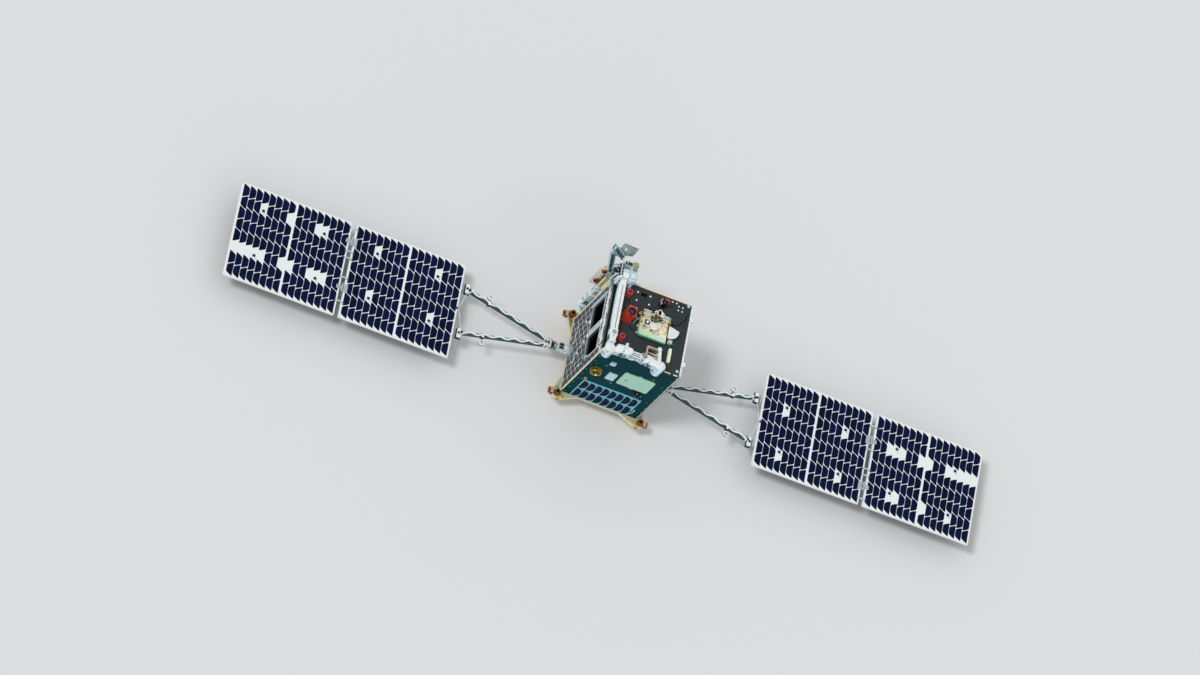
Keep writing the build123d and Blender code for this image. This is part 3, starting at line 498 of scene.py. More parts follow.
def heated_finish(name):
    """A heat-tinted nozzle: copper brown with darker and blue bands."""
    n = Nodes(name)
    fine = n.noise(70.0, 4.0)
    colour = n.blend(n.spread(n.noise(18.0), 0.35, 0.65), "b9794a", "7c4722")
    n.set(Base_Color=n.blend(n.spread(fine, 0.5, 0.75, 0.0, 0.5), colour, "3f2a22"),
          Roughness=n.spread(fine, 0.3, 0.7, 0.28, 0.45), Metallic=0.85)
    n.bump(fine, 0.2, 0.0004)


def ivory_finish(name):
    """The payload housing: ivory with a painted bluish light that turns it mint towards its lower left."""
    n = Nodes(name)
    fine = n.noise(80.0, 4.0)
    cream = n.blend(n.spread(fine, 0.3, 0.7), "efe8c2", "f8f2d6")
    # Painted light: a bluish tint that grows towards the housing's lower left.
    painted_light_slope = n.math("ADD", n.math("MULTIPLY", n.part(n.coords, "X"), -0.55),
                   n.math("MULTIPLY", n.part(n.coords, "Y"), -1.0))
    n.set(Base_Color=n.blend(n.spread(painted_light_slope, -0.02, 0.10, 0.0, 0.85), cream, "b9ddb4"),
          Roughness=n.spread(fine, 0.25, 0.75, 0.35, 0.5))
    n.bump(fine, 0.1, 0.0003)


def lattice_finish(name, face_code, shaded_wall_code):
    """Bright machined outer faces over rib walls painted darker as shade."""
    n = Nodes(name)
    fine = n.noise(110.0, 4.0)
    face, wall = rgb(face_code), rgb(shaded_wall_code)
    bright = n.blend(n.spread(fine, 0.3, 0.7), scaled(face, 0.86), face)
    bright = n.blend(n.spread(n.noise(7.0), 0.4, 0.7, 0.0, 0.3), bright, scaled(face, 0.7))
    walls = n.blend(n.spread(fine, 0.35, 0.65), wall, scaled(wall, 1.8))
    # Painted shade: faces not turned along X, the rib walls, take the darker wall colour.
    n.set(Base_Color=n.blend(n.spread(n.math("ABSOLUTE", n.facing("X")), 0.4, 0.7), walls, bright),
          Roughness=n.spread(fine, 0.25, 0.75, 0.3, 0.48), Metallic=0.35)
    n.bump(fine, 0.12, 0.0004)


lattice_finish("silver_lattice", "d8dcdd", "4f5557")
heated_finish("copper")
ivory_finish("ivory_paint")
weave_finish("carbon_beam", "07242a", "0d3238", 500.0, 0.05)
weave_finish("white_cable", "d7dcdc", "eceeee", 700.0, 0.0)
weave_finish("cable_white", "eef0f0", "fbfcfc", 700.0, 0.0)
panel_finish("panel_sheet")
cell_finish("cell", "030a2a", "071238")
glass_finish("lens", "060a1c")
paint("ring_metal", "b9bcbe", 0.32, 0.9, 0.08, streak=(6, 6, 90))
# gold_plate: faces turned up take a painted pale green light.
paint("gold_plate", "e2cfa4", 0.42, 0.1, 0.12, painted_light_by_facing=("cdd0a6", "Z", 0.3, 0.9, 0.8))
paint("teal_skin", "043c45", 0.55, 0.0, 0.16, 24.0, 3.0, shine=0.04)
paint("cream_edge", "f0dfbf", 0.4, 0.0, 0.08)
paint("dark_liner", "1b1e20", 0.62, 0.0, 0.25, 90.0, shine=0.1)
paint("grey_deck", "373e40", 0.6, 0.0, 0.12, 36.0, 4.0, shine=0.12)
# white_paint: faces turned towards minus Y take a painted pale blue light.
paint("white_paint", "eef1f0", 0.42, 0.0, 0.05, 90.0, painted_light_by_facing=("9fd0dc", "Y", -0.25, -0.95, 0.75))
paint("tank_metal", "8b8f92", 0.4, 0.6)
paint("red_paint", "c23a2a", 0.38, 0.0, 0.14, 40.0, coat=0.2)
paint("black_paint", "101216", 0.4, 0.0, 0.2, shine=0.15)
# gold_metal: faces turned sideways and down take a painted darker gold shade.
paint("gold_metal", "efe4c6", 0.36, 0.15, 0.10, 50.0, painted_light_by_facing=("d9b27c", "Z", 0.4, -0.2, 0.6))
paint("mint_paint", "a5d6be", 0.45, 0.0, 0.07, 40.0, 5.0)
paint("pale_ceramic", "b9dfe6", 0.4, 0.0, 0.08)
paint("pale_teal", "5bb0bf", 0.45, shine=0.25)
paint("tan_metal", "e0bf98", 0.38, 0.15, 0.12)
# pale_metal: faces turned towards minus Y take a painted pale blue light.
paint("pale_metal", "c3cdd0", 0.34, 0.55, 0.1, 80.0, painted_light_by_facing=("8cc4d0", "Y", -0.3, -0.95, 0.7))
paint("grey_housing", "8f9697", 0.42, 0.4, 0.1, 70.0)
paint("busbar", "1b2650", 0.4, 0.2, 0.05, shine=0.1)
paint("steel", "b4bbbd", 0.28, 0.9, 0.08, 120.0)
paint("white", "f1f3f2", 0.4, 0.0, 0.04, 100.0)
paint("pale_blue", "a9d6e2", 0.4, 0.0, 0.06, 80.0)
paint("teal_metal", "2f8b93", 0.35, 0.4, 0.12, 80.0)
paint("green", "1f6b3f", 0.4, 0.0, 0.18, 160.0)
paint("dark", "23282a", 0.45, 0.2, 0.2, 80.0, shine=0.2)
paint("copper_bright", "c08a5c", 0.3, 0.8, 0.12, 70.0)
paint("olive", "a9a35c", 0.45, 0.1, 0.14, 70.0)
paint("gold_disc", "e2c562", 0.3, 0.6)
# Flat black for small black parts, also used as painted shade in holes, in gaps and under parts.
paint("black_hole", "0a0908", 0.7, 0.0, 0.2, shine=0.05)
paint("grey_cable", "858d92", 0.5, 0.0, 0.1, 120.0)
# Olive darkened as painted shadow, for the flare's stripes.
paint("olive_dark", "55532f", 0.45, 0.1, 0.14)
# horn_gold: faces turned towards plus X take a painted bright gold light over dark brass.
paint("horn_gold", "8f7a3a", 0.3, 0.75, 0.2, 40.0, painted_light_by_facing=("e6d08a", "X", -0.2, 0.9, 0.7))
paint("pocket", "3a3f41", 0.6, 0.0, 0.3, 90.0, shine=0.1)
paint("green_teal", "5ab391", 0.42, 0.0, 0.12)
paint("bronze", "8f6236", 0.34, 0.5, 0.16, 50.0)
paint("navy", "141c4a", 0.25, shine=0.3)
paint("arm_grey", "a3acb0", 0.4, 0.2, 0.08, 80.0)
paint("olive_pale", "c3cb9d", 0.45, 0.05)
paint("lattice_light", "d3d7d8", 0.34, 0.6, 0.1, 90.0)
paint("edge_teal", "5c9aa0", 0.4, 0.2, 0.1, 80.0)
paint("pale_green", "cfe6c4", 0.42, 0.0, 0.08, 70.0)
paint("brass_gold", "d9b65c", 0.28, 0.85, 0.12)
paint("red_dark", "8e2a22", 0.4, 0.0, 0.14, 50.0)
paint("pink", "e2a3a8", 0.42, 0.0, 0.08, 70.0)
paint("ivory_light", "f6f1dc", 0.4, 0.0, 0.05, 80.0)
paint("pale_sky", "c4dff0", 0.38, 0.0, 0.06, 80.0)
paint("teal_dark", "0f4650", 0.4, 0.2, 0.15)

# Two antennas have a colour of their own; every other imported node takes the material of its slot.
OWN_COLOUR = {"horn_antenna": "horn_gold", "bar_antenna": "ivory_light"}
for subpart in frame["record"]["subparts"]:
    data = frame["nodes"][subpart["node"]].data
    data.materials.clear()
    data.materials.append(MAT[OWN_COLOUR.get(subpart["node"], subpart["material_slot"])])


# Solar cells on the four panels

CELL_PITCH_X = 47.2
CELL_PITCH_Y = 85.2
CELL_W = 44.8
CELL_LONG = 98.0
CELL_SHORT = 60.0
EDGE_X = 12.65
HALF_STEP = 392.0
EDGE_Y = 8.3
# Panel name, body, left x, top y, missing cells as {row: columns}, bushing rows from the top
PANELS = (
    ("right_inner", "right_inner_wing", 1107.6, 378.5, {3: (4, 13), 7: (4, 13)}, (206, 547)),
    ("right_outer", "right_outer_wing", 1929.3, 378.5, {3: (3, 4, 5, 8, 9, 12, 13, 14, 15, 16), 7: (4, 5, 9, 13)},
     (206, 547)),
    ("left_inner", "left_inner_wing", -1898.3, 330.5, {2: (4, 13), 6: (4, 13)}, (157, 499)),
    ("left_outer", "left_outer_wing", -2720.0, 330.5, {6: (1, 2, 3, 4, 5, 8, 9, 12, 13, 14), 2: (4, 8, 12, 13)},
     (157, 499)),
)


def cell_outline(straight_left):
    """One half-wafer cell about its middle: a long straight side and a short side with round corners."""
    w, a, s = CELL_W / 2, CELL_LONG / 2, CELL_SHORT / 2
    upper = [(-w, a), (-w + 8, a - 1.8), (-w + 17, a - 5.8), (-w + 28, s + 7.2), (w - 8.5, s + 2.0),
             (w - 4, s - 1.6), (w - 1.2, s - 6.2), (w, s - 12)]
    points = upper[::-1] + [(x, -y) for x, y in upper]
    return points if straight_left else [(-x, y) for x, y in points][::-1]


def cells(name, body, left, top, missing):
    b = Build()
    tones = []
    for row, column in product(range(1, 9), range(1, 17)):
        if column in missing.get(row, ()):
            continue
        x = left + EDGE_X + CELL_W / 2 + CELL_PITCH_X * ((column - 1) % 8) + HALF_STEP * (column > 8)
        y = top - EDGE_Y - CELL_LONG / 2 - CELL_PITCH_Y * (row - 1)
        before = len(b.faces)
        prism(b, [(x + px, y + py) for px, py in cell_outline(row % 2 == 1)], WING_TOP, WING_TOP + 0.55, 0, 0.2)
        for bar_x in (-11, 9) if row % 2 else (-9, 11):
            box(b, x + bar_x - 0.3, x + bar_x + 0.3, y - 33, y + 33, WING_TOP + 0.4, WING_TOP + 0.68, 1, 0.08)
        tone = ((row * 37 + column * 61 + int(abs(left))) * 7919 % 101) / 101
        tones += [tone] * (len(b.faces) - before)
    piece(name + "_cells", b, body, "cell busbar", tones)


def panel_trim(name, body, left, top, bushing_rows):
    """Bushings, corner screws and the cable run on the back of one panel."""
    b = Build()
    back = WING_TOP - PANEL_T
    for dx, dy in product((177.0, 614.5), bushing_rows):
        x, y = left + dx, top - dy
        lathe(b, (x, y, WING_TOP), UP,
              [(6.8, 0), (12, 0), (12, 1.2), (10.8, 1.8), (8.4, 1.8), (7.8, 0.9), (6.8, 0.9)], 1, 24, True)
        # A black disc on each bushing is the painted shade in its hole.
        lathe(b, (x, y, WING_TOP), UP, [(0, 0), (7, 0), (7, 0.5), (0, 0.5)], 5, 20)
        box(b, x + 7, x + 16, y - 20, y - 15, WING_TOP, WING_TOP + 0.5, 1, 0.2)
        lathe(b, (x, y, back), DOWN, [(4.5, 0), (13, 0), (13, 2.2), (11, 3), (4.5, 3)], 1, 20, True)
        bolts(b, around((x, y, back - 2.6), DOWN, 9, 4, 0.5), DOWN, 1.4, 3)
    right, bottom = left + PANEL_W, top - PANEL_H
    for point in grid((left + 7, right - 7), (top - 5, bottom + 5), WING_TOP):
        lathe(b, point, UP, [(0, 0), (2.6, 0), (2.6, 0.6), (1.2, 0.6), (1.0, 0.3), (0, 0.3)], 3, 12)
    middle = (top + bottom) / 2
    for offset in (-14, -6, 6, 14):
        tube(b, [(left + 30, middle + offset, back - 1.4), (right - 30, middle + offset, back - 1.4)], 1.3, 2, 6, 0)
    for k in range(7):
        x = left + 60 + k * (PANEL_W - 120) / 6
        box(b, x - 5, x + 5, middle - 20, middle + 20, back - 3.4, back, 0, 0.6)
    for k in (1, 3, 5):
        x = left + PANEL_W * k / 6
        for y0, y1 in ((bottom + 45, middle - 24), (middle + 24, top - 45)):
            box(b, x - 7, x + 7, y0, y1, back - 1.0, back, 4, 0.3)
    piece(name + "_panel_trim", b, body, "pale_metal teal_metal white_cable steel dark_liner black_hole")


for *panel, gone, bushings in PANELS:
    cells(*panel, gone)
    panel_trim(*panel, bushings)


# Bus: separation ring and aft deck

RING_R = 190.5
ADAPTER_H = 107.0
FLARE_X = 327.0
FLARE_Y = 332.0
POD_Y = 296.0
NOZZLE_Z = 117.0


def mirrored(points, sx, sy):
    """An outline or path moved to one of the four quarters."""
    return [(sx * x, sy * y, *rest) for x, y, *rest in points]


def ring_trim():
    """Bolt heads on both flanges and a seam of rivets round the wall."""
    b = Build()
    bolts(b, around((0, 0, 9), UP, RING_R, 24), UP, 4.6)
    bolts(b, around((0, 0, 98), UP, RING_R, 24), DOWN, 4.6)
    for z in (40, 66):
        for x, y, z in around((0, 0, z), UP, 180.8, 72, 0.5):
            drum(b, (x, y, z), (x, y, 0), 2.0, 1.2, 0, 8, 0.5)
    piece("ring_trim", b, "bus", "steel")


def aft_deck_trim():
    """Face sheets, edge beads and screws on the four flares, and a bronze sheet of painted shade on one of them."""
    b = Build()
    corner = [(286, 160), (322, 262), (319, 327), (262, 327), (160, 284), (286, 284)]
    rim = [(283.5, 152), (326.2, 262), (323.4, 331.4), (262, 331.4), (152, 281.5)]
    screws = [(292, 185), (306, 222), (317, 256), (256, 320), (222, 306), (185, 292), (314, 322)]
    for signs in CORNERS:
        prism(b, mirrored(corner, *signs), AFT_TOP, AFT_TOP + 0.8, 0, 0.3)
        for z in (AFT_TOP - 1.2, ADAPTER_H + 1.2):
            tube(b, mirrored([(*p, z) for p in rim], *signs), 1.9, 1, 6, 3)
        bolts(b, mirrored([(*p, AFT_TOP + 0.7) for p in screws], *signs), UP, 2.6, 2)
        drums(b, mirrored([(300, 265, AFT_TOP + 0.6)], *signs), UP, 7, 3.5, 2, 16)
    # Painted shade: a bronze sheet over one flare makes it darker than the other three.
    shaded_flare_face = [(290, 200), (316, 266), (313, 321), (266, 321), (200, 289), (289, 289)]
    prism(b, mirrored(shaded_flare_face, -1, 1), AFT_TOP + 0.6, AFT_TOP + 1.7, 3, 0.4)
    for s in SIGNS:
        drums(b, grid(range(-240, 241, 60), s * 281, ADAPTER_H + 8), (0, s, 0), 3.2, 1.4, 2, 12, 0.5)
        drums(b, grid(s * 283, (-120, -70, 70, 120), ADAPTER_H + 8), (s, 0, 0), 3.2, 1.4, 2, 12, 0.5)
        box(b, -152, 152, s * 280.2, s * 281.8, AFT_TOP - 3, AFT_TOP + 0.6, 1, 0.3)
        box(b, s * 282.2, s * 283.8, -150, 150, AFT_TOP - 3, AFT_TOP + 0.6, 1, 0.3)
    piece("aft_deck_trim", b, "bus", "olive_pale cream_edge steel bronze")


def nozzle_rim(b, mouth, axis, mouth_r, throat_r, depth, copper=0):
    """Rolled lip, inner cone and dark throat of one nozzle."""
    bead(b, mouth, axis, mouth_r - 1.2, 1.7, copper, 24, 6)
    back = Vector(mouth) - Vector(axis) * depth
    lathe(b, back, axis, [(0, 0), (throat_r - 2.6, 0), (throat_r - 2.6, 0.5), (0, 0.5)], 1, 16)
    lathe(b, back, axis, [(throat_r - 2.4, 0), (mouth_r - 2.7, depth - 0.6), (mouth_r - 2.2, depth - 0.6),
                          (throat_r - 1.9, 0)], 1, 24, True)


def aft_thruster_trim():
    """Lips and throats, valve blocks, feed lines and end discs of the aft thrusters."""
    b = Build()
    for sx, sy in CORNERS:
        y_pod = sy * POD_Y
        for y in (y_pod - 11, y_pod + 11):
            nozzle_rim(b, (sx * (FLARE_X + 33), y, NOZZLE_Z), (sx, 0, 0), 13, 9, 8)
            bead(b, (sx * (FLARE_X + 21), y, NOZZLE_Z), (sx, 0, 0), 10.4, 1.2, 0, 20, 6)
        box(b, sx * (FLARE_X + 1.5), sx * (FLARE_X + 19), y_pod - 20, y_pod + 20, AFT_TOP + 7.6, AFT_TOP + 11, 2, 1.2)
        bolts(b, grid(sx * (FLARE_X + 10), (y_pod - 14, y_pod, y_pod + 14), AFT_TOP + 11), UP, 2.4, 3)
        up_x, up_y = sx * (FLARE_X - 25), sy * (FLARE_Y - 29)
        nozzle_rim(b, (up_x, up_y, AFT_TOP + 30), UP, 18, 12, 16)
        for ring_h, ring_r in ((12, 13.4), (19, 15)):
            bead(b, (up_x, up_y, AFT_TOP + ring_h), UP, ring_r, 1.1, 0, 24, 6)
        bolts(b, grid((up_x - 16, up_x + 16), (up_y - 16, up_y + 16), AFT_TOP + 7.8), UP, 2.2, 3)
        side_x, side_y = sx * (FLARE_X - 39), sy * (FLARE_Y + 12)
        lathe(b, (side_x, side_y - sy * 8, NOZZLE_Z - 2), (0, sy, 0),
              [(9.4, 0), (15, 0), (16, 1.5), (16, 4), (13, 5.4), (9.4, 5.4)], 4, 28, True)
        nozzle_rim(b, (side_x, side_y, NOZZLE_Z - 2), (0, sy, 0), 9, 8, 5, 4)
        cap(b, (sx * 262, sy * 316, AFT_TOP + 0.6), UP, (13, 3, 11.5, 4.2, 8, 7, 3), 4, 28, 0)
        tube(b, mirrored([(FLARE_X - 41, FLARE_Y - 29, AFT_TOP + 4), (FLARE_X - 51, FLARE_Y - 37, AFT_TOP + 3),
                          (262, 292, AFT_TOP + 3), (236, 286, AFT_TOP + 3)], sx, sy), 1.6, 3)
        tube(b, mirrored([(FLARE_X + 3, POD_Y - 18, AFT_TOP + 9), (316, POD_Y - 30, AFT_TOP + 4),
                          (304, 246, AFT_TOP + 3), (289, 214, AFT_TOP + 3)], sx, sy), 1.6, 3)
    piece("aft_thruster_trim", b, "bus", "copper_bright black_hole tan_metal steel gold_disc")


ring_trim()
aft_deck_trim()
aft_thruster_trim()


# Bus: side lattices, posts and skins

TRI_SIDE = 62.0
TRI_STEP = TRI_SIDE * sqrt(3) / 2
WINDOW_Z = (475.0, 675.0)
WINDOW_Y = ((-210.0, -35.0), (15.0, 195.0))
# Turns an outline in Y and Z to face along minus X
FACE_MX = Matrix(((0, 0, -1, 0), (1, 0, 0, 0), (0, 1, 0, 0), (0, 0, 0, 1)))


def clipped(points, y_zone, z_zone):
    """A polygon cut to a rectangle."""
    for axis, limit, sign in ((0, y_zone[0], 1), (0, y_zone[1], -1), (1, z_zone[0], 1), (1, z_zone[1], -1)):
        out = []
        for p, q in zip(points, points[1:] + points[:1]):
            p_in, q_in = sign * (p[axis] - limit) >= 0, sign * (q[axis] - limit) >= 0
            if p_in:
                out.append(p)
            if p_in != q_in:
                t = (limit - p[axis]) / (q[axis] - p[axis])
                out.append((p[0] + t * (q[0] - p[0]), p[1] + t * (q[1] - p[1])))
        points = out
    return points


def rim_pockets(b, mat):
    """Dark triangles, painted as the floors of pockets with their shade, that carry the lattice's pattern on over its
    solid rims.
    """
    reach = 2 * (TRI_STEP / 3 - 2.5)
    low, (sill, head) = AFT_TOP + 12, WINDOW_Z
    cut_zones = ((-258, 258, low, sill - 9), (-258, 258, head + 9, 789))
    show_zones = (((-266, 266), (low, sill - 12)), ((-266, 266), (head + 12, 724)),
                  ((-266, -222), (sill - 8, head + 8)), ((222, 266), (sill - 8, head + 8)))
    for column, row in product(range(-5, 5), range(26)):
        first = 0 if (row + column) % 2 == 0 else 60
        y_mid = column * TRI_STEP + (2 * TRI_STEP / 3 if first else TRI_STEP / 3)
        z_mid = AFT_TOP + row * TRI_SIDE / 2
        corners = [(y_mid + reach * cos(radians(a)), z_mid + reach * sin(radians(a)))
                   for a in (first, first + 120, first + 240)]
        if any(all(y0 <= y <= y1 and z0 <= z <= z1 for y, z in corners) for y0, y1, z0, z1 in cut_zones):
            continue
        for zone in show_zones:
            shape = clipped(corners, *zone)
            if abs(signed_area(shape)) > 70:
                prism(b, shape, -0.6, 0.5, mat, 0.0, FACE_MX)


def lattice_trim(side, slot_name):
    """Ring nodes where ribs cross, frames round the windows, straps, bars and small equipment, and two black strips
    of painted shadow along the top.
    """
    b = Build(spin(pi if side > 0 else 0) @ shift(-HALF_X, 0, 0))
    low, high = WINDOW_Z
    for column, k in product(range(-4, 5), range(23)):
        y, z = column * TRI_STEP, AFT_TOP + k * TRI_SIDE / 2
        if (k + column) % 2 and AFT_TOP + 20 < z < 745 and not low - 14 < z < high + 14:
            lathe(b, (0, y, z), MX, [(3.4, -1), (8.6, -1), (8.6, 1.6), (7.4, 2.6), (4.6, 2.6), (3.4, 1.6)], 0, 14,
                  True)
            drum(b, (0, y, z), MX, 3.6, 0.8, 2, 10, 0.3)
    for y0, y1 in WINDOW_Y:
        for side_y in (y0 - 4, y1 + 4):
            box(b, -2.2, 2, side_y - 5, side_y + 5, low - 9, high + 9, 0, 0.8)
        for side_z in (low - 4, high + 4):
            box(b, -2.2, 2, y0, y1, side_z - 5, side_z + 5, 0, 0.8)
        bolts(b, grid(-2.2, (y0 - 5, y1 + 5), tuple(low + 12 + k * (high - low - 24) / 5 for k in range(6))),
              MX, 2.2, 2)
        bolts(b, grid(-2.2, tuple(y0 + 18 + k * (y1 - y0 - 36) / 4 for k in range(5)), (low - 5, high + 5)),
              MX, 2.2, 2)
    for k in range(7):
        z = 474 + k * 33
        lathe(b, (-5, -10, z), MX, [(5, -0.5), (8.5, -0.5), (8.5, 1.2), (5, 1.2)], 1, 16, True)
        drum(b, (-4.6, -10, z), MX, 5.2, 0.6, 3 if k % 2 else 4, 12, 0.2)
        if k < 6:
            box(b, -5.7, -4, -20, 0, z + 9.5, z + 23.5, 3 if k in (1, 4) else 8, 0.4)
    # The last two blocks are black strips of painted shadow along the top of the side, under the arm.
    boxes(b, (-5, 0, -27, 7, 452, 698, 1, 1.5), (-4.4, -1, -29.5, -25.5, 490, 660, 5, 0.8),
          (-4.4, -1, 5.5, 9.5, 490, 660, 5, 0.8), (-6, 0, -205, 222, 727, 752, 1, 2),
          (-14, -5, -160, -112, 724, 764, 1, 2), (-16, -13, -152, -120, 732, 756, 5, 1),
          (-7, 0, 203, 219, 440, 700, 5, 1.5), (-1, 1, -262, 262, 772, 801, 7, 0.3),
          (-1.6, 3, -272, 272, 803.4, 813.8, 7, 0.4))
    bolts(b, grid(-6, range(-190, 207, 36), 739), MX, 3, 2)
    drums(b, grid(-7, 211, range(462, 683, 44)), MX, 4.2, 1.6, 1, 12, 0.5)
    bead(b, (-3, 91, 462), MX, 15, 3.2, 0, 28, 8)
    drum(b, (0, 91, 462), MX, 11, 5, 1, 24)
    for y, z, w, h, mat in (
            (-199, 505, 16, 34, 5), (-220, 522, 12, 24, 3), (-214, 470, 20, 14, 4), (-126, 262, 18, 12, 5),
            (-84, 318, 10, 16, 1), (44, 214, 16, 10, 5), (130, 380, 10, 18, 1), (-212, 388, 14, 16, 5),
            (196, 250, 12, 12, 3), (-34, 402, 22, 9, 1), (232, 620, 12, 30, 3)):
        box(b, -7, 2, y - w / 2, y + w / 2, z - h / 2, z + h / 2, mat, 1.5)
        drum(b, (-7, y, z), MX, min(w, h) * 0.28, 2, 2, 12, 0.4)
    tubes(b, (2, 1, (-3, -199, 524), (-5, -214, 560), (-4, -219, 620), (-5, -218, 690), (-4, -190, 715)),
          (1.8, 6, (-3, -118, 264), (-5, -90, 285), (-4, -60, 330), (-5, -36, 398)),
          (1.8, 6, (-3, 51, 216), (-5, 92, 240), (-4, 140, 246), (-5, 190, 250)),
          (1.8, 1, (-3, -208, 464), (-5, -222, 430), (-4, -214, 396)))
    rim_pockets(b, 8)
    bolts(b, grid(0, range(-250, 251, 50), (AFT_TOP + 6, 766)), MX, 2.4, 2)
    piece(slot_name + "_trim", b, "bus",
          "lattice_light white steel teal_metal dark pale_blue white_cable black_paint pocket")


def skin_trim(sy, slot_name):
    """Edge screws and cream edge lines of a honeycomb skin; the upper one has a cover and lifting points."""
    b = Build(shift(0, sy * HALF_Y, 0))
    out = (0, sy, 0)
    bolts(b, grid((-258, 268), 0, range(152, 783, 70)), out, 3.2)
    blocks(b, grid((-258, 268), sy * 0.3, range(152, 783, 70)), (10, 0.6, 10), 1, 0.2)
    bolts(b, grid((-232, 242), 0, (365, 610)), out, 3.4)
    bolts(b, grid(range(-210, 211, 70), 0, (AFT_TOP + 9, 794)), out, 2.6)
    if sy > 0:
        turn = Matrix(((1, 0, 0, 0), (0, 0, 1, 0), (0, 1, 0, 0), (0, 0, 0, 1)))
        prism(b, rounded(-150, 150, 286, 560, 14), -0.4, 2.2, 1, 1.0, turn)
        bolts(b, grid(range(-138, 139, 46), 2, (298, 548)), out, 2.8)
        bolts(b, grid((-140, 140), 2, range(340, 509, 42)), out, 2.8)
        drums(b, grid((-190, 190), 0, (200, 640)), out, 13, 3, 2, 28, 1)
        bolts(b, grid((-190, 190), 3, (200, 640)), out, 5)
    for side, width, mat in ((-1, 4.5, 2), (1, 1.6, 1)):
        x = 281 * side
        box(b, x - side * width, x + side * 1.2, -sy * 2, sy * 1.2, AFT_TOP + 1, 803, mat, 0.5)
    piece(slot_name + "_trim", b, "bus", "edge_teal teal_skin cream_edge")


lattice_trim(-1, "left_panel")
lattice_trim(1, "right_panel")
skin_trim(-1, "lower_panel")
skin_trim(1, "upper_panel")


# Bus: equipment on the lower skin, with X to the right, Y up and Z outwards from it

FACE_MY = Matrix(((1, 0, 0, 0), (0, 0, -1, -HALF_Y), (0, 1, 0, 0), (0, 0, 0, 1)))
STRIP = (-215.0, 205.0, 128.0, 368.0)


def body_cells():
    """Two rows of eight cut cells on the pale backing sheet."""
    b = Build(FACE_MY)
    tones = []
    left, right, low, high = STRIP
    pitch = (right - left - 10) / 8
    w, h = 46.0, 106.0
    for row, column in product(range(2), range(8)):
        x, y = left + 8 + pitch * column, high - 12 - row * 117
        outline = [(x, y), (x, y - h), (x + 20, y - h + 2), (x + 34, y - h + 12), (x + 43, y - h + 29),
                   (x + w, y - h / 2), (x + 43, y - 29), (x + 34, y - 12), (x + 20, y - 2)]
        before = len(b.faces)
        prism(b, outline, 4, 4.8, 0, 0.25)
        box(b, x + 14, x + 14.8, y - h + 12, y - 12, 4.6, 5.1, 1, 0.1)
        tones += [((row * 5 + column * 3) % 7) / 7] * (len(b.faces) - before)
    piece("body_cells", b, "bus", "cell busbar", tones)
    c = Build(FACE_MY)
    for y in (low + 5, low + 122, high - 4):
        box(c, left + 2, right - 2, y - 1.2, y + 1.2, 3.9, 4.9, 0, 0.2)
    for x in (left + 4, right - 5):
        box(c, x - 1.5, x + 1.5, low + 4, high - 4, 3.9, 4.9, 0, 0.2)
    box(c, right + 8, right + 20, low + 80, low + 92, 0, 5, 0, 1)
    c.place = Matrix.Identity(4)
    y = -HALF_Y
    tube(c, [(right - 4, y - 4, low + 30), (right + 8, y - 3, low + 34), (right + 16, y - 2, low + 60),
             (right + 14, y - 2, low + 82)], 1.6, 1)
    piece("body_cell_frame", c, "bus", "pale_blue white_cable")


def face_fittings():
    """Details of the radiator plate, patches, horn, stub and round sensor."""
    b = Build(FACE_MY)
    drums(b, [*grid((-21, 77, 175), (484, 625), 6), (-25, 554.5, 6), (179, 554.5, 6)], UP, 2.6, 0.9, 0, 12, 0.3)
    drum(b, (6, 548, 6), UP, 5.5, 2.2, 4, 18, 0.8)
    boxes(b, (15, 24, 545, 551, 6, 6.5, 4, 0.2), (98, 116, 560, 563, 6, 6.6, 6, 0.2),
          (-99, -77, 512, 534, 8.2, 9.6, 1, 0.5))
    bolts(b, grid(75, (466, 643), 6), UP, 2.8, 7)
    for x, y, w, h in ((-145, 680, 38, 42), (-88, 523, 60, 88)):
        blocks(b, [(x, y, 7.6)], (w - 8, h - 8, 1.6), 1, 0.5)
        drums(b, grid((x - w / 2 + 4, x + w / 2 - 4), (y - h / 2 + 4, y + h / 2 - 4), 7), UP, 1.8, 0.9, 7, 10, 0.3)
        drum(b, (x, y, 8.4), UP, 3.4, 0.8, 6, 14, 0.3)
    x, y = -205, 537
    bead(b, (x, y, 26), UP, 35.4, 2.3, 2, 40, 8)
    lathe(b, (x, y, 5.2), UP, [(0, 0), (28, 0), (28, 0.4), (0, 0.4)], 5, 32)
    lathe(b, (x, y, 5), UP, [(0, 0), (11, 0), (9, 7), (6, 12), (3, 13), (0, 13)], 3, 24)
    for ring_r, ring_h in ((31.2, 7), (32.4, 12), (33.6, 17), (34.8, 22)):
        bead(b, (x, y, ring_h), UP, ring_r, 0.9, 2, 36, 6)
    bolts(b, around((x, y, 5), UP, 36.4, 8, 0.5), UP, 1.9, 2)
    lathe(b, (-217, 393, 0), UP, [(0, 0), (11, 0), (11, 3), (7, 4), (7, 10), (5, 12), (0, 12)], 2, 24)
    drum(b, (-200, 385, 0), UP, 3.4, 4, 6, 14)
    x, y = 144, 438
    for ring_r, ring_h in ((29.5, 6), (24, 18), (17, 22.5)):
        bead(b, (x, y, ring_h), UP, ring_r, 1.3, 4, 32, 6)
    bolts(b, around((x, y, 6), UP, 27.6, 6), UP, 2, 7)
    for k, point in enumerate(around((x, y, 18.75), UP, 21, 6)):
        blocks(b, [point], (6, 6, 3.5), 5 if k % 2 else 0, 0.6)
    lathe(b, (x, y, 25), UP, [(14.5, -4), (13.6, 0), (10, 4), (5.4, 6.4), (0, 7)], 8, 24)
    for x, y in ((-168, 628), (-55, 440), (156, 666), (218, 185), (-165, 792)):
        box(b, x - 8, x + 8, y - 3.5, y + 3.5, 0, 1.6, 6, 0.5)
        drums(b, grid((x - 3, x + 3), y, 1.6), UP, 1.6, 0.8, 5, 10, 0.3)
    piece("face_fittings", b, "bus", "pale_green pale_ceramic brass_gold green dark black_hole olive steel lens")


body_cells()
face_fittings()


# Payload deck, with heights from its top face

DECK = shift(0, 0, BUS_TOP)
BOX_H = 30.0


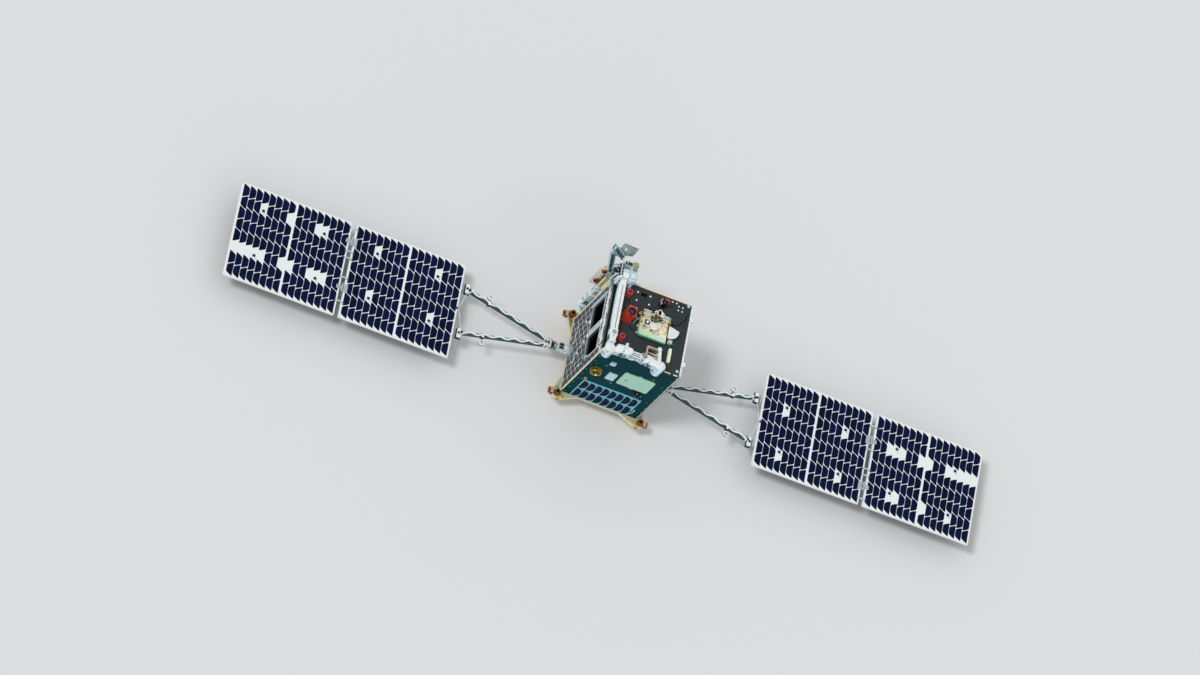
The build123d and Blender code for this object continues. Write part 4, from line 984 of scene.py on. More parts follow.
def deck_trim():
    """Clips along the rails, fasteners, marks and cable runs on the deck."""
    b = Build(DECK)
    blocks(b, grid(range(-196, 253, 64), HALF_Y - 3.45, -0.2), (16, 10.1, 7.6), 0, 1)
    bolts(b, grid(range(-196, 253, 64), HALF_Y - 4, 3.6), UP, 2.4, 1)
    for point in grid((-115, -24), (224, 161), 0):
        cap(b, point, UP, (6.4, 0.8, 5, 1.4, 2.4, 2.0, 0.7), 0, 20, 0)
    for x, y in ((134, 246), (165, 246), (183, 228), (212, 228), (183, 199), (212, 199)):
        cap(b, (x, y, 0), UP, (5.4, 0.8, 4.2, 1.3, 2, 1.7, 0.7), 0, 18, 0)
    for x, y in ((250, 255), (253, -243)):
        cap(b, (x, y, 0), UP, (11, 2, 9, 3.2, 4.5, 4, 1.5), 4, 24, 0)
    bolts(b, grid((-99, -41), 217, 0), UP, 1.8, 1)
    pads(b, 0, 0.6, 5, 0.3, 11.5, 6, (-93.5, -46.5, 204.5, 229.5))
    pads(b, 0, 0.7, 3, 0.3, 2.5, 3, (134.5, 141.5, 208, 220), (188, 206, 244, 252), (-25, -15, 32, 48),
         (-96.5, -87.5, 41, 55))
    # The first block, a black strip along the deck's left edge, is painted shadow under the arm.
    boxes(b, (-HALF_X - 0.8, -HALF_X + 8, -HALF_Y + 8, 214, -7, 2.8, 5, 0.5),
          (-176, 272, HALF_Y - 12.6, HALF_Y + 1.0, -3, 2.9, 6, 0.8))
    bolts(b, grid(258, range(-230, 231, 46), 0), UP, 2.6, 2)
    blocks(b, grid((214, 221, 228), -HALF_Y + 3.1, -1.2), (4, 7.8, 7.6), 2, 0.5)
    for x0, x1 in ((-270, 166), (263, 274), (211, 231)):
        box(b, x0, x1, -HALF_Y - 0.6, -HALF_Y + 6.6, -6, 2.4, 2, 0.4)
    bolts(b, grid((182, 198, 240, 254), -HALF_Y + 3, 2), UP, 1.8, 1)
    for path in ([(-60, 108, 3), (-40, 128, 3), (20, 132, 3), (58, 165, 3)],
                 [(-136, -44, 3), (-110, -60, 3), (-86, -62, 3), (-71, -60, 4)],
                 [(-172, 150, 3), (-160, 120, 3), (-158, 70, 3), (-160, 40, 3)],
                 [(126, 70, 3), (160, 76, 3), (200, 90, 3), (240, 140, 3), (252, 180, 3)]):
        tube(b, path, 2.2, 3)
    piece("deck_trim", b, "bus", "white steel grey_deck black_paint pale_blue black_hole cream_edge")
    c = Build(DECK @ shift(HALF_X, 0, 0))
    for y in (165, -175):
        bolts(c, grid(20, (y - 9, y + 9), -6), PX, 3.2, 1)
        lathe(c, (11, y, 2), UP, [(4, 0), (9, 0), (9, 2.4), (7.6, 3.4), (4, 3.4)], 0, 24, True)
        box(c, 1, 9, y - 22, y + 22, -10, -4, 2, 1)
    box(c, -8.5, 1.5, -268, 268, -2, 4.4, 0, 1)
    bolts(c, [(-3, -250 + k * 45.4, 4.2) for k in range(12)], UP, 1.9, 1)
    piece("right_rail_trim", c, "bus", "white steel pale_blue")


def lens(b, origin, r, glass, hood):
    """A lens looking up: ring, stepped seat and a domed front glass."""
    lathe(b, origin, UP, [(r, 0), (r + 3, 0), (r + 3, hood), (r + 2.2, hood + 0.8), (r + 0.6, hood + 0.8), (r, hood)],
          1, 32, True)
    lathe(b, origin, UP, [(0, 0), (r, 0), (r, 0.6), (r * 0.82, 1.6), (r * 0.5, 2.5), (r * 0.2, 2.9), (0, 2.95)],
          glass, 32)


def cameras():
    """Hoods, glasses, screws and connectors of the four cameras."""
    b = Build(DECK)
    prism(b, [(-193, -24), (-193, 30), (-184, 37), (-148, 37), (-138, 27), (-138, -22), (-150, -32), (-184, -32)],
          117.9, 120.4, 0, 1.2)
    lathe(b, (-172, -8, 121), UP, [(20, 0), (25.5, 0), (27, 2), (27, 7), (25.5, 8.4), (22, 8.4), (20, 6)], 1, 36,
          True)
    lens(b, (-172, -8, 120.2), 18.5, 2, 3.2)
    bolts(b, ((-188, -26, 120.4), (-144, -26, 120.4), (-190, 30, 120.4), (-143, 32, 120.4)), UP, 2.4, 3)
    blocks(b, grid(-195.7, 3, (28, 60, 92)), (1.4, 54, 3), 0, 0.5)
    blocks(b, grid(-165.5, -33.7, (28, 60, 92)), (41, 1.4, 3), 0, 0.5)
    box(b, -136.5, -126, -22, 2, 64, 92, 4, 1.5)
    drum(b, (-126, -10, 78), PX, 6, 5, 5, 18)
    tube(b, [(-122, -10, 78), (-112, -10, 70), (-108, -12, 30), (-110, -18, 4)], 2.4, 6)
    blocks(b, grid((-201, -130), (-20, 24), 2), (12, 14, 4), 0, 1)
    bolts(b, grid((-201, -130), (-20, 24), 4), UP, 2.8, 3)
    for x, y, r, z in ((-183, 178, 21, 44), (-177, -155, 20, 40)):
        bead(b, (x, y, z - 1), UP, r - 1.5, 1.8, 0, 32, 8)
        lens(b, (x, y, z - 4.6), r * 0.5, 2, 3)
        beads(b, grid(x, y, (12, 20, 28)), UP, r + 0.2, 1.2, 0, 32, 6)
        bolts(b, around((x, y, 5), UP, r + 1.6, 4, 0.5), UP, 2, 3)
        box(b, x + r - 3, x + r + 9, y - 7, y + 7, 4, 22, 0, 1.2)
        drum(b, (x + r + 9, y, 13), PX, 4, 4, 5, 14)
    piece("camera_trim", b, "bus", "red_paint black_paint lens steel red_dark dark white_cable")
    c = Build(DECK @ shift(68, 195, 0))
    lens(c, (0, 0, 41.2), 13.4, 0, 4)
    bead(c, (0, 0, 44.5), UP, 22, 2.2, 1, 32, 8)
    pads(c, 24, 50, 2, 1.5, 3, 3, (-2, 30, 14, 27))
    box(c, 22, 30, -6, 16, 22, 46, 2, 1.5)
    for x, y in ((-21, -14), (-25, 1), (-20, 15)):
        box(c, x - 4, x + 4, y - 4.5, y + 4.5, 22, 44, 3, 1.2)
        drum(c, (x, y, 44), UP, 3, 2.5, 4, 12, 0.6)
    beads(c, grid(0, 0, (10, 17)), UP, 24.2, 1.2, 1, 32, 6)
    bolts(c, around((0, 0, 5), UP, 25.6, 6), UP, 1.9, 5)
    piece("right_camera_trim", c, "bus", "lens black_paint red_paint pink white steel")


def payload():
    """Borders of the payload housing and the open capture mechanism, with heights from the housing's top."""
    b = Build(DECK @ shift(0, 0, BOX_H))
    pads(b, -19, 0.6, 4, 0.6, 1.5, 2, (-72, 127, -95.5, -91.5))
    pads(b, 0, 0.8, 5, 0.3, 2, 3, (70, 112, -78, -60))
    # The first block, a black strip along the foot of the housing's minus Y side, is painted shadow under it.
    boxes(b, (-71, 126, -95, -91.5, -30, -18.5, 7, 0.4), (-71.5, -69, -92, 90, -30, -23, 4, 0.8),
          (124.5, 127, -92, 90, -30, -23, 4, 0.8))
    bolts(b, [*grid((-62, 117), (-84, -30), 0), (-6, -84, 0), (56, -84, 0), (-62, 8, 0), (117, 12, 0)], UP, 2.4, 6)
    for y in (-70, -20, 30, 76):
        boxes(b, (-79.6, -72.1, y - 7, y + 7, -30, -26.5, 0, 0.8), (124.1, 134.6, y - 7, y + 7, -30, -26.5, 0, 0.8))
        bolts(b, grid((-74.6, 129.6), y, -26.5), UP, 2.2, 6)
    prism(b, [(-74, -97), (-62, -97), (-62, -88), (-74, -80)], -26, -10, 9, 1.5)
    port, toward = (34, 79, 54), (0.5, -0.2, 0.84)
    lathe(b, port, toward, [(17, -9), (22, -9), (24, -4), (24, 0), (22, 2.4), (19, 2.4), (17, 0.6)], 0, 36, True)
    lathe(b, port, toward, [(0, -9), (17.6, -9), (17.6, -0.6), (0, -0.6)], 7, 32)
    bead(b, port, toward, 24.4, 1.7, 10, 36, 6)
    boxes(b, (3, 13, 82, 92, 30, 52, 1, 1.6), (51, 61, 84, 94, 30, 52, 0, 1.6), (9, 19, 58, 68, 30, 52, 10, 1.6),
          (53, 63, 60, 70, 30, 52, 1, 1.6))
    pads(b, 8, 33, 8, 2, 5, 3, (-8, 34, 18, 54))
    for x, y, r, h in ((-2, 26, 5, 40), (10, 24, 6, 38), (24, 28, 5, 42), (4, 42, 7, 40), (22, 44, 6, 44)):
        drum(b, (x, y, 32), UP, r, h - 32, 9 if r == 5 else 8, 18)
        bead(b, (x, y, h), UP, r - 1, 1.0, 3, 18, 6)
    for x, y, radius, marks in ((-31, 2, 34, (196, 214, 250, 282, 300)),
                                (24, -10, 36, (188, 226, 248, 262, 318, 334))):
        for k, mark in enumerate(marks):
            a = radians(mark)
            b.at(shift(x + radius * cos(a), y + radius * sin(a), 9) @ spin(a))
            box(b, -2.2 - k % 2 * 1.5, 3, -4.2 - k % 3 * 2, 4.2, -8, 4 + k % 3 * 3, (10, 0, 10, 2, 0, 3)[k], 1)
    b.at()
    for x0, x1, y0, y1 in ((-76, -68, 34, 62), (119, 127, 34, 62), (-76, -68, 66, 86), (119, 127, 68, 84)):
        boxes(b, (x0, x1, y0, y1, 8, 34, 10, 2), (x0 + 1.5, x1 - 1.5, y0 + 4, y1 - 4, 33, 37, 3, 1))
    phase = 1.35 / pi
    for x, y, r, z, mat in ((-28, 4, 30, 16, 7), (22, -8, 33, 20, 1)):
        lathe(b, (x, y, z - 6), UP, [(0, 0), (r - 9, 0), (r - 9, 2.5), (r - 13, 4), (11, 4.6), (9, 3.4), (0, 3.4)],
              mat, 36)
        bead(b, (x, y, z), UP, r - 4, 2.6, 0, 40, 8)
        bead(b, (x, y, z - 8), UP, r, 1.6, 2, 40, 6)
        cap(b, (x, y, z + 3.6), UP, (9, 2, 7.5, 3, 3.4, 3, 1), 1, 24, 0)
        drums(b, around((x, y, z + 1.4), UP, r - 4, 9, phase), UP, 2.6, 2.2, 1, 10, 0.5)
        inner, outer = (around((x, y, z - 1), UP, reach, 3, phase) for reach in (9, r - 8))
        for start, end in zip(inner, outer):
            strut(b, start, end, 1.6, 1)
    for x in (-42, 92):
        # Black strips in the gaps between the slats are painted shade.
        blocks(b, grid(x, (60, 72), 34.3), (50, 4, 2.6), 7, 0.5)
        for y, mat in ((54, 0), (66, 5), (78, 0)):
            pads(b, 33.6, 38, mat, 1, 3, 3, (x - 25, x + 25, y - 3.5, y + 3.5))
        bolts(b, grid((x - 20, x + 20), (54, 66, 78), 38), UP, 1.8, 2)
        blocks(b, grid((x - 26.4, x + 26.4), 66, 22.5), (3.2, 30, 21), 2, 0.8)
        for y, z in ((46, 26), (86, 20)):
            strut(b, (x - 24, y, z), (x + 24, y, z), 2.6, 0, 3)
        drum(b, (x, 82, 22), PY, 8, 6, 3, 24)
        drum(b, (x, 88, 22), PY, 4.6, 3, 2, 16)
    beads(b, grid(46, (62, 94), 18), PY, 23, 2.4, 3, 40, 8)
    beads(b, grid(46, (62, 94), 12), PY, 33, 1.8, 1, 40, 8)
    lathe(b, (46, 66, 18), PY, [(0, 0), (19.4, 0), (19.4, 1), (0, 1)], 7, 32)
    lathe(b, (46, 67, 18), PY, [(13.5, 0), (18.5, 0), (18.5, 24), (17.4, 25), (13.5, 25)], 7, 32, True)
    for k in range(7):
        a = radians(10 + 160 * k / 6)
        x, z = 46 + 34 * cos(a), 12 + 34 * sin(a)
        strut(b, (x, 63, z), (x, 93, z), 2.2, 0 if k % 2 else 2, 3)
        drum(b, (x, 94, z), PY, 3, 2.5, 1, 10, 0.5)
    pads(b, 12, 30, 8, 2, 5, 4, (14, 76, 40, 60))
    drums(b, grid((28, 40, 52, 64), 50, 30), UP, 4.6, 6, 9, 16)
    beads(b, grid((28, 40, 52, 64), 50, 36), UP, 3.6, 1, 3, 16, 6)
    for start, end in (((-10, 30, 26), (14, 46, 34)), ((60, 24, 30), (78, 46, 34)), ((-52, 20, 22), (-40, 50, 30)),
                       ((100, 16, 22), (92, 48, 30)), ((4, 22, 30), (40, 40, 36)), ((-2, -24, 22), (20, -46, 8)),
                       ((48, -30, 22), (62, -50, 8)), ((-40, -22, 18), (-46, -44, 8)), ((24, -38, 22), (34, -56, 8))):
        strut(b, start, end, 2.4, 0, 3)
    for x, y in ((20, -46), (62, -50), (-46, -44), (34, -56)):
        pads(b, 0, 9, 2, 1.5, 2, 3, (x - 6, x + 6, y - 5, y + 5))
    for x, y, w, h, low, high in ((60, 10, 18, 26, 0, 22), (-56, 22, 12, 20, 10, 20), (104, 30, 16, 22, 10, 22),
                                  (2, 34, 20, 12, 10, 24), (84, -6, 12, 10, 0, 16), (-52, -12, 10, 12, 0, 15)):
        pads(b, low, high, 0, 1.5, 2.5, 3, (x - w / 2, x + w / 2, y - h / 2, y + h / 2))
        bolts(b, [(x, y, high)], UP, 2.4, 3)
    tubes(b, (2, 3, (-56, 30, 14), (-64, 10, 10), (-60, -14, 6), (-54, -30, 3)),
          (2, 3, (112, 20, 16), (120, 0, 8), (112, -20, 4), (100, -34, 3)),
          (2, 6, (30, 36, 28), (20, 30, 34), (6, 32, 30), (-8, 44, 24)),
          (2, 6, (62, 40, 28), (72, 30, 34), (84, 34, 30), (90, 44, 34)),
          (2, 6, (-66, 60, 20), (-68, 70, 30), (-60, 84, 30), (-44, 88, 26)),
          (2, 6, (118, 60, 20), (121, 72, 30), (112, 86, 28), (96, 88, 26)))
    piece("payload_trim", b, "bus", "ivory_light white pale_blue brass_gold green_teal pale_sky steel black_hole "
          "teal_dark teal_metal bronze")


def antennas():
    """Grid and edge of the fan reflector, its feed, and the bar antenna's details."""
    b = Build(DECK)
    arc = [(x, y, 40) for x, y in ((203, 20), (201, 2), (195, -15), (184, -32), (168, -43), (150, -49), (131, -50))]
    for end in (arc[0], arc[-1]):
        tube(b, [(131, 37, 40), end], 1.5, 0, 8, 0)
    tube(b, arc, 1.6, 0, 8, 3)
    for y in range(22, -39, -12):
        reach = 131 + (sqrt(1 - (y / 52) ** 2) * 66 if y < 18 else 70 * (38 - y) / 18)
        box(b, 133, min(reach, 198), y - 0.35, y + 0.35, 40, 40.5, 1, 0.1)
    for x in range(12, 61, 12):
        box(b, 131 + x - 0.35, 131 + x + 0.35, 1 - 48 * sqrt(1 - (x / 76) ** 2), 36 - x * 0.25, 40, 40.5, 1, 0.1)
    bolts(b, ((137, 32, 40), (192, 18, 40), (137, -44, 40), (170, -8, 40)), UP, 2, 2)
    drums(b, ((150, -60, 18), (163, -50, 18), (174, -62, 18), (160, -70, 18)), UP, 3.6, 6, 3, 14)
    tube(b, [(162, -44, 12), (166, -30, 24), (162, -12, 32)], 2.4, 4)
    tube(b, [(176, -62, 8), (190, -72, 8), (196, -86, 4)], 2.2, 3)
    box(b, 186, 204, -82, -66, 0, 9, 4, 1.5)
    drum(b, (195, -74, 9), UP, 4.4, 4, 3, 16)
    bead(b, (159, -7, 32), UP, 9.4, 1.6, 2, 20, 6)
    beads(b, grid(173.5, (-190, -130), 12), PY, 9.6, 1.2, 5, 24, 6)
    bolts(b, grid((164.5, 182.5), (-190, -130), 0), UP, 2, 2)
    drums(b, grid(173.5, (-206, -113), 19.6), UP, 5.5, 1.2, 5, 18, 0.4)
    piece("antenna_trim", b, "bus", "white pale_sky steel teal_metal dark ivory_light")


deck_trim()
cameras()
payload()
antennas()


# Payload arm; the joints' heights are measured from the deck

ARM_X = -252.0
SHOULDER = (262.0, 871.0)
ELBOW = (-262.0, -312.0)
WRIST = (98.0, -312.0)


def facets(b, centre, low, high, mats):
    """Twelve raised plates on the sides of a faceted housing, some of them pale blue as painted facet shade."""
    half, apothem = 33 * sin(pi / 12) - 1.4, 33 * cos(pi / 12)
    plates(b, (*centre, 0), "Z", 12, (apothem - 0.6, apothem + 1.1, -half, half, low, high), mats, 0.7)


def upper_arm_trim():
    """Rails, clamps, screws and cable of the upper link, with its shoulder caps."""
    b = Build()
    y_s, z_s = SHOULDER
    top = z_s + 19
    for x, s in ((-274, -1), (-230, 1)):
        lathe(b, (x, y_s, z_s), (s, 0, 0),
              [(14, -1), (44, -1), (44, 0.6), (41, 2.2), (33, 2.2), (31, 1.0), (14, 1.0)], 0, 40, True)
        bolts(b, around((x + s * 2.0, y_s, z_s), PX, 37, 8, 0.5), (s, 0, 0), 2.4, 3)
        x = ARM_X + s * 27
        box(b, x - 0.8, x + 0.8, -196, -154, z_s - 20, z_s + 14, 1, 0.5)
        bolts(b, grid(x + s * 0.8, (-190, -160), (z_s - 15, z_s + 9)), (s, 0, 0), 2.0, 3)
    for k in range(10):
        b.at(shift(ARM_X, y_s, z_s) @ spin(radians(18 * k + 9), "X") @ shift(0, 48.3, 0))
        box(b, -17, 17, -0.6, 0.9, -5.4, 5.4, 1 if k % 3 == 1 else 0, 0.5)
    b.at()
    for x in (ARM_X - 13.5, ARM_X + 13.5):
        pads(b, top - 0.4, top + 1.8, 0, 1.2, 5, 4, (x - 6.5, x + 6.5, -228, 205))
    rows = (-120, -60, 0, 60, 120, 175)
    bolts(b, grid((ARM_X - 13.5, ARM_X + 13.5), rows, top + 1.6), UP, 1.9, 3)
    for x, y in product((ARM_X - 22, ARM_X + 22), rows):
        box(b, x - 1.4, x + 1.4, y + 16, y + 26, z_s - 20, z_s + 14, 0, 1)
    tube(b, [(ARM_X - 1, -205, top - 4), (ARM_X + 1, -100, top - 3.4), (ARM_X - 1, 20, top - 4),
             (ARM_X + 1, 180, top - 3.4)], 2.6, 2)
    bead(b, (ARM_X, -175, top + 4), UP, 14, 2.2, 4, 32, 8)
    drum(b, (ARM_X, -175, top + 4), UP, 11, 4, 4, 24)
    for y, z, w, h, mat in ((-228, top - 14, 20, 16, 5), (-214, top - 30, 14, 12, 5), (-238, top - 8, 12, 12, 0),
                            (214, top - 20, 16, 20, 5), (196, top - 30, 14, 12, 6)):
        blocks(b, grid((-274, -230), y, z), (3.2, w, h), mat, 0.8)
        for x, s in ((-274, -1), (-230, 1)):
            bolts(b, [(x + s * 1.6, y, z)], (s, 0, 0), 1.8, 3)
    tubes(b, (2.2, 6, (-230, 190, 875), (-226.6, 150, 863), (-227, 40, 859), (-226.6, -90, 861), (-229, -140, 867)),
          (2.2, 1, (-274, 190, 869), (-277.4, 140, 859), (-277, 0, 855), (-277.4, -100, 859), (-275, -142, 867)))
    facets(b, ELBOW, 829, 868, (1, 0, 1, 4))
    for x, y, h in ((-277, -222, 24), (-276, -204, 18), (-226, -232, 22)):
        box(b, x - 4, x + 4, y - 8, y + 8, 858, 858 + h, 5, 1.4)
        bolts(b, [(x, y, 857.8 + h)], UP, 2, 3)
    box(b, -279, -276, -196, -160, 852, 884, 7, 1)
    blocks(b, grid(-279.5, (-190, -178, -166), 868), (1.8, 6, 24), 0, 0.6)
    for z in (826, 870.5):
        joint_ring(b, (*ELBOW, z))
    cap(b, (*ELBOW, 817), DOWN, (20, 1.4, 17, 2.6, 8, 7, 1.2), 4, 28, -0.5)
    blocks(b, grid((-268, -236), -267, 858.5), (6, 42, 25), 0, 1.4)
    piece("upper_arm_trim", b, "arm_upper", "white pale_blue grey_cable steel arm_grey green teal_metal dark")


def shell(b, *stations):
    """A closed body with round-cornered sections, each x, y, z, half width and half height."""
    verts = []
    for x, y, z, w, h in stations:
        for k in range(20):
            c, s = cos(pi * k / 10), sin(pi * k / 10)
            verts.append((x, y + copysign(w * abs(c) ** 0.55, c), z + copysign(h * abs(s) ** 0.55, s)))
    b.add(verts, skins([range(20 * i, 20 * i + 20) for i in range(len(stations))], 20), 0)


def forearm_trim():
    """Covers, facets, bars, rings, connectors and cables of the lower link."""
    b = Build(DECK)
    for centre in (ELBOW, WRIST):
        facets(b, centre, 67, 104, (0, 0, 1))
        for z in (66, 105.5):
            joint_ring(b, (*centre, z), 1.4, 33.4, 34)
        cap(b, (*centre, 114), UP, (22, 1.2, 19, 2.4, 9, 8, 1.2), 0, 32, -0.5)
        bolts(b, around((*centre, 116), UP, 15, 6), UP, 1.9, 4)
    shell(b, (-238, -311, 88, 12, 14), (-232, -309, 89, 21, 20), (-214, -300, 88, 27, 25.5),
          (-196, -292, 87, 30, 26.5), (-176, -290, 87, 30, 27), (-172, -290, 87, 27, 24))
    shell(b, (-168, -290, 87, 27, 24), (-164, -290, 87, 30, 27), (-138, -290, 87, 30, 27), (-132, -290, 87, 26, 24))
    shell(b, (-22, -296, 85, 22, 23), (-16, -296, 85, 26, 27), (8, -297, 85, 26, 27), (12, -297, 85, 23, 24))
    shell(b, (16, -297, 85, 23, 24), (20, -298, 85, 26, 27), (40, -302, 85, 25.5, 26), (56, -307, 86, 23, 23),
          (72, -311, 86, 18, 20), (76, -312, 86, 12, 14))
    for x0, x1, low, mat in ((-206, -180, -320.8, 1), (-162, -142, -320.8, 2), (-12, 6, -323.8, 2),
                             (22, 40, -323.8, 1)):
        boxes(b, (x0, x1, low, low + 3.2, 66, 86, 1, 1), (x0 + 2, x1 - 2, low, low + 3.2, 90, 104, mat, 1))
        bolts(b, grid((x0 + 4, x1 - 4), low, 97), MY, 1.7, 4)
    for x, y, w, h, z, mat in (
            (-214, -324, 16, 20, 92, 5), (-176, -322, 9, 34, 84, 5), (-150, -321, 8, 12, 96, 9),
            (9, -322, 9, 34, 82, 5), (48, -322, 14, 22, 90, 5), (14, -272, 9, 16, 96, 6), (-170, -261, 8, 22, 92, 9),
            (-30, -316, 12, 12, 96, 6)):
        blocks(b, [(x, y, z)], (w, 4.4, h), mat, 0.8)
        y += -2.9 if y < -300 else 2.9
        blocks(b, grid(x, y, (z - h / 3, z)), (w / 2, 1.8, 3.6), 4, 0.5)
        blocks(b, [(x, y, z + h / 3)], (w / 2, 1.8, 3.6), 8, 0.5)
    for x, y, r, mat in ((-132, -292, 24, 0), (-28, -290, 21, 10)):
        cap(b, (x, y, 118), UP, (r - 2, 1.6, r - 4.5, 3.2, r * 0.55, r * 0.5, 1.6), mat, 32)
        for z, ring_mat in ((60, 1), (70, 1), (112, 0)):
            bead(b, (x, y, z), UP, r + 0.4, 1.6, ring_mat, 36, 6)
        bolts(b, around((x, y, 121), UP, r - 6, 6, 0.5), UP, 1.6, 4)
        lathe(b, (x, y, 54), DOWN, [(0, -0.4), (r - 3, -0.4), (r - 3, 2), (r - 6, 3.2), (0, 3.2)], 1, 28)
    lathe(b, (-28, -290, 121), UP, [(0, -0.4), (9, -0.4), (9, 2.4), (7, 4), (0, 4)], 7, 24)
    for y, z, r, mat in ((-278, 97.5, 4.4, 0), (-306, 90, 4.4, 0), (-292, 93, 3.4, 0), (-300, 76, 2.8, 1),
                         (-284, 78, 2.8, 1), (-317, 72, 3.2, 1)):
        tube(b, [(-116, y, z), (-100, y, z + 0.4), (-60, y, z), (-42, y, z)], r, mat, 8, 3)
    for x in (-112, -78, -46):
        box(b, x - 2.5, x + 2.5, -319, -265, 83, 87, 7, 0.8)
    bolts(b, grid((-112, -78, -46), (-316, -299, -285, -268), 87), UP, 1.6, 4)
    blocks(b, grid((-104, -88, -70, -54), -269.6, 78), (6, 2, 28), 1, 0.6)
    blocks(b, grid((-104, -88, -70, -54), -314.4, 74), (6, 2, 20), 1, 0.6)
    boxes(b, (-119, -40, -297, -287, 64, 78, 6, 1), (-119, -40, -285, -271, 56, 60.4, 6, 1),
          (-117, -42, -313, -299, 86, 89.4, 9, 1), (-117, -42, -285, -271, 94, 96.6, 9, 1),
          (-246, -226, -294, -280, 84, 109.6, 9, 2), (-190, -168, -328, -318, 66, 92, 5, 2),
          (-186, -179, -330, -326, 70, 88, 9, 1), (14, 30, -331, -321, 62, 88, 5, 2),
          (34, 44, -330, -321, 74, 92, 9, 2),
          (-14, -4, -328, -319, 62, 82, 12, 2), (-156, -146, -326, -317, 64, 84, 12, 2),
          (-108, -92, -308, -296, 56, 63, 9, 1), (-66, -50, -308, -296, 56, 63, 9, 1),
          (-118, -98, -324, -315, 62, 76, 11, 1.4), (-96, -84, -322, -315, 60, 72, 0, 1.4))
    for x0, x1, y0, y1, mat in ((-206, -186, -284, -268, 1), (-176, -150, -283, -268, 1), (-182, -168, -312, -300, 5),
                                (-2, 12, -290, -279, 1), (20, 36, -290, -279, 1), (16, 30, -316, -305, 5),
                                (-208, -148, -292, -287, 9), (-147, -142, -314, -268, 9), (-10, 38, -299, -294, 9)):
        box(b, x0, x1, y0, y1, 104, 112.2 if x0 < -130 else 110.2, mat, 0.8)
    drum(b, (-108, -319, 76), UP, 4, 5, 12, 18, 1)
    cap(b, (-148, -232, 86), PY, (10.5, 2.4, 8, 3.8, 4, 3.4, 2), 0, 24, -1)
    bead(b, (-148, -244, 86), PY, 9.4, 1.4, 7, 24, 6)
    drum(b, (-162, -259, 96), UP, 7, 20, 0, 24, 2)
    drum(b, (-116, -264, 84), UP, 9, 12, 1, 24, 2)
    drum(b, (-116, -264, 96), UP, 5, 2, 12, 16, 0.6)
    tubes(b, (2.4, 0, (-232, -286, 106), (-205, -268, 108), (-170, -264, 106), (-146, -266, 112), (-132, -276, 120)),
          (2.4, 0, (-18, -276, 116), (6, -272, 108), (40, -278, 104), (66, -290, 106), (84, -296, 112)),
          (2.6, 2, (-246, -342, 90), (-226, -336, 76), (-196, -324, 64), (-150, -321, 58), (-112, -312, 56),
           (-60, -310, 56), (-20, -318, 56), (20, -324, 60), (56, -334, 70), (82, -342, 88)),
          (2, 9, (-236, -330, 72), (-214, -320, 60), (-180, -310, 56), (-150, -306, 54)),
          (2, 9, (-16, -306, 54), (14, -314, 56), (44, -324, 62), (70, -334, 70)))
    piece("forearm_trim", b, "arm_lower", "white pale_blue pale_sky white_cable steel green teal_metal arm_grey "
          "brass_gold dark grey_housing ivory_light navy")


def wrist_trim():
    """Facets and caps of the wrist, edge strips of the last link, fittings on its collar."""
    b = Build(DECK)
    facets(b, WRIST, 18, 57, (1, 0, 1, 3))
    for z in (15, 59.5):
        joint_ring(b, (*WRIST, z))
    cap(b, (*WRIST, 6), DOWN, (20, 1.4, 17, 2.6, 8, 7, 1.2), 3, 28, -0.5)
    bolts(b, [(104 - 16 * t, -296 + 132 * t, 58) for t in (0.18, 0.5, 0.82)], UP, 2.4, 2)
    prism(b, [(100, -268), (112.5, -268), (101.5, -186), (87, -186)], 57.6, 60, 0, 1.2)
    tube(b, [(117.5, -282, 46), (112.4, -240, 46), (104, -188, 46)], 2.2, 1)
    cap(b, (88, -166, 60), UP, (13, 1.4, 11, 2.6, 6, 5, 1.2))
    bead(b, (88, -166, 36), UP, 15.4, 1.4, 3, 28, 6)
    drum(b, (127, -262, 40), UP, 10, 26, 3, 24, 2)
    box(b, 112, 126, -272, -254, 44, 56, 0, 1.5)
    bead(b, (127, -262, 58), UP, 10.2, 1.4, 2, 24, 6)
    piece("wrist_trim", b, "arm_wrist", "white pale_blue steel arm_grey")
    c = Build(DECK)
    pads(c, 55.8, 58, 0, 0.9, 1.8, 3, (1.6, 8, -241, -169), (69, 78.4, -241, -169), (8, 69, -175.4, -168),
         (8, 69, -242.4, -234.6))
    bolts(c, [*grid((5, 73.5), (-237, -173), 58), (38, -171.6, 58), (38, -238, 58)], UP, 2.0, 1)
    for y, mat in ((-226, 2), (-200, 3), (-188, 2)):
        box(c, 66, 80, y - 5, y + 5, 50, 62, mat, 1.4)
        drum(c, (73, y, 62), UP, 3, 2.4, 1, 14, 0.6)
    tube(c, [(72, -224, 60), (60, -228, 64), (48, -224, 60), (40, -216, 52)], 2, 4)
    tube(c, [(70, -190, 60), (58, -184, 63), (50, -196, 58), (46, -210, 51)], 2, 2)
    drums(c, grid((20, 56), -213, 50), UP, 3.6, 3, 1, 14, 0.8)
    box(c, 8, 26, -234, -222, 38, 48, 5, 1)
    piece("grapple_trim", c, "arm_wrist", "tan_metal steel teal_metal green white_cable dark")


upper_arm_trim()
forearm_trim()
wrist_trim()


# Fixed shoulder, sensor head and its post

# The head's own frame: X across, Y along its corner edge, Z outwards from its top
HEAD_AXES = Matrix(((0.8892, 0.2265, -0.3975), (0.411, -0.778, 0.475), (0.201, 0.585, 0.786)))
HEAD = shift(-289, 500, 874.5) @ HEAD_AXES.transposed().to_4x4()


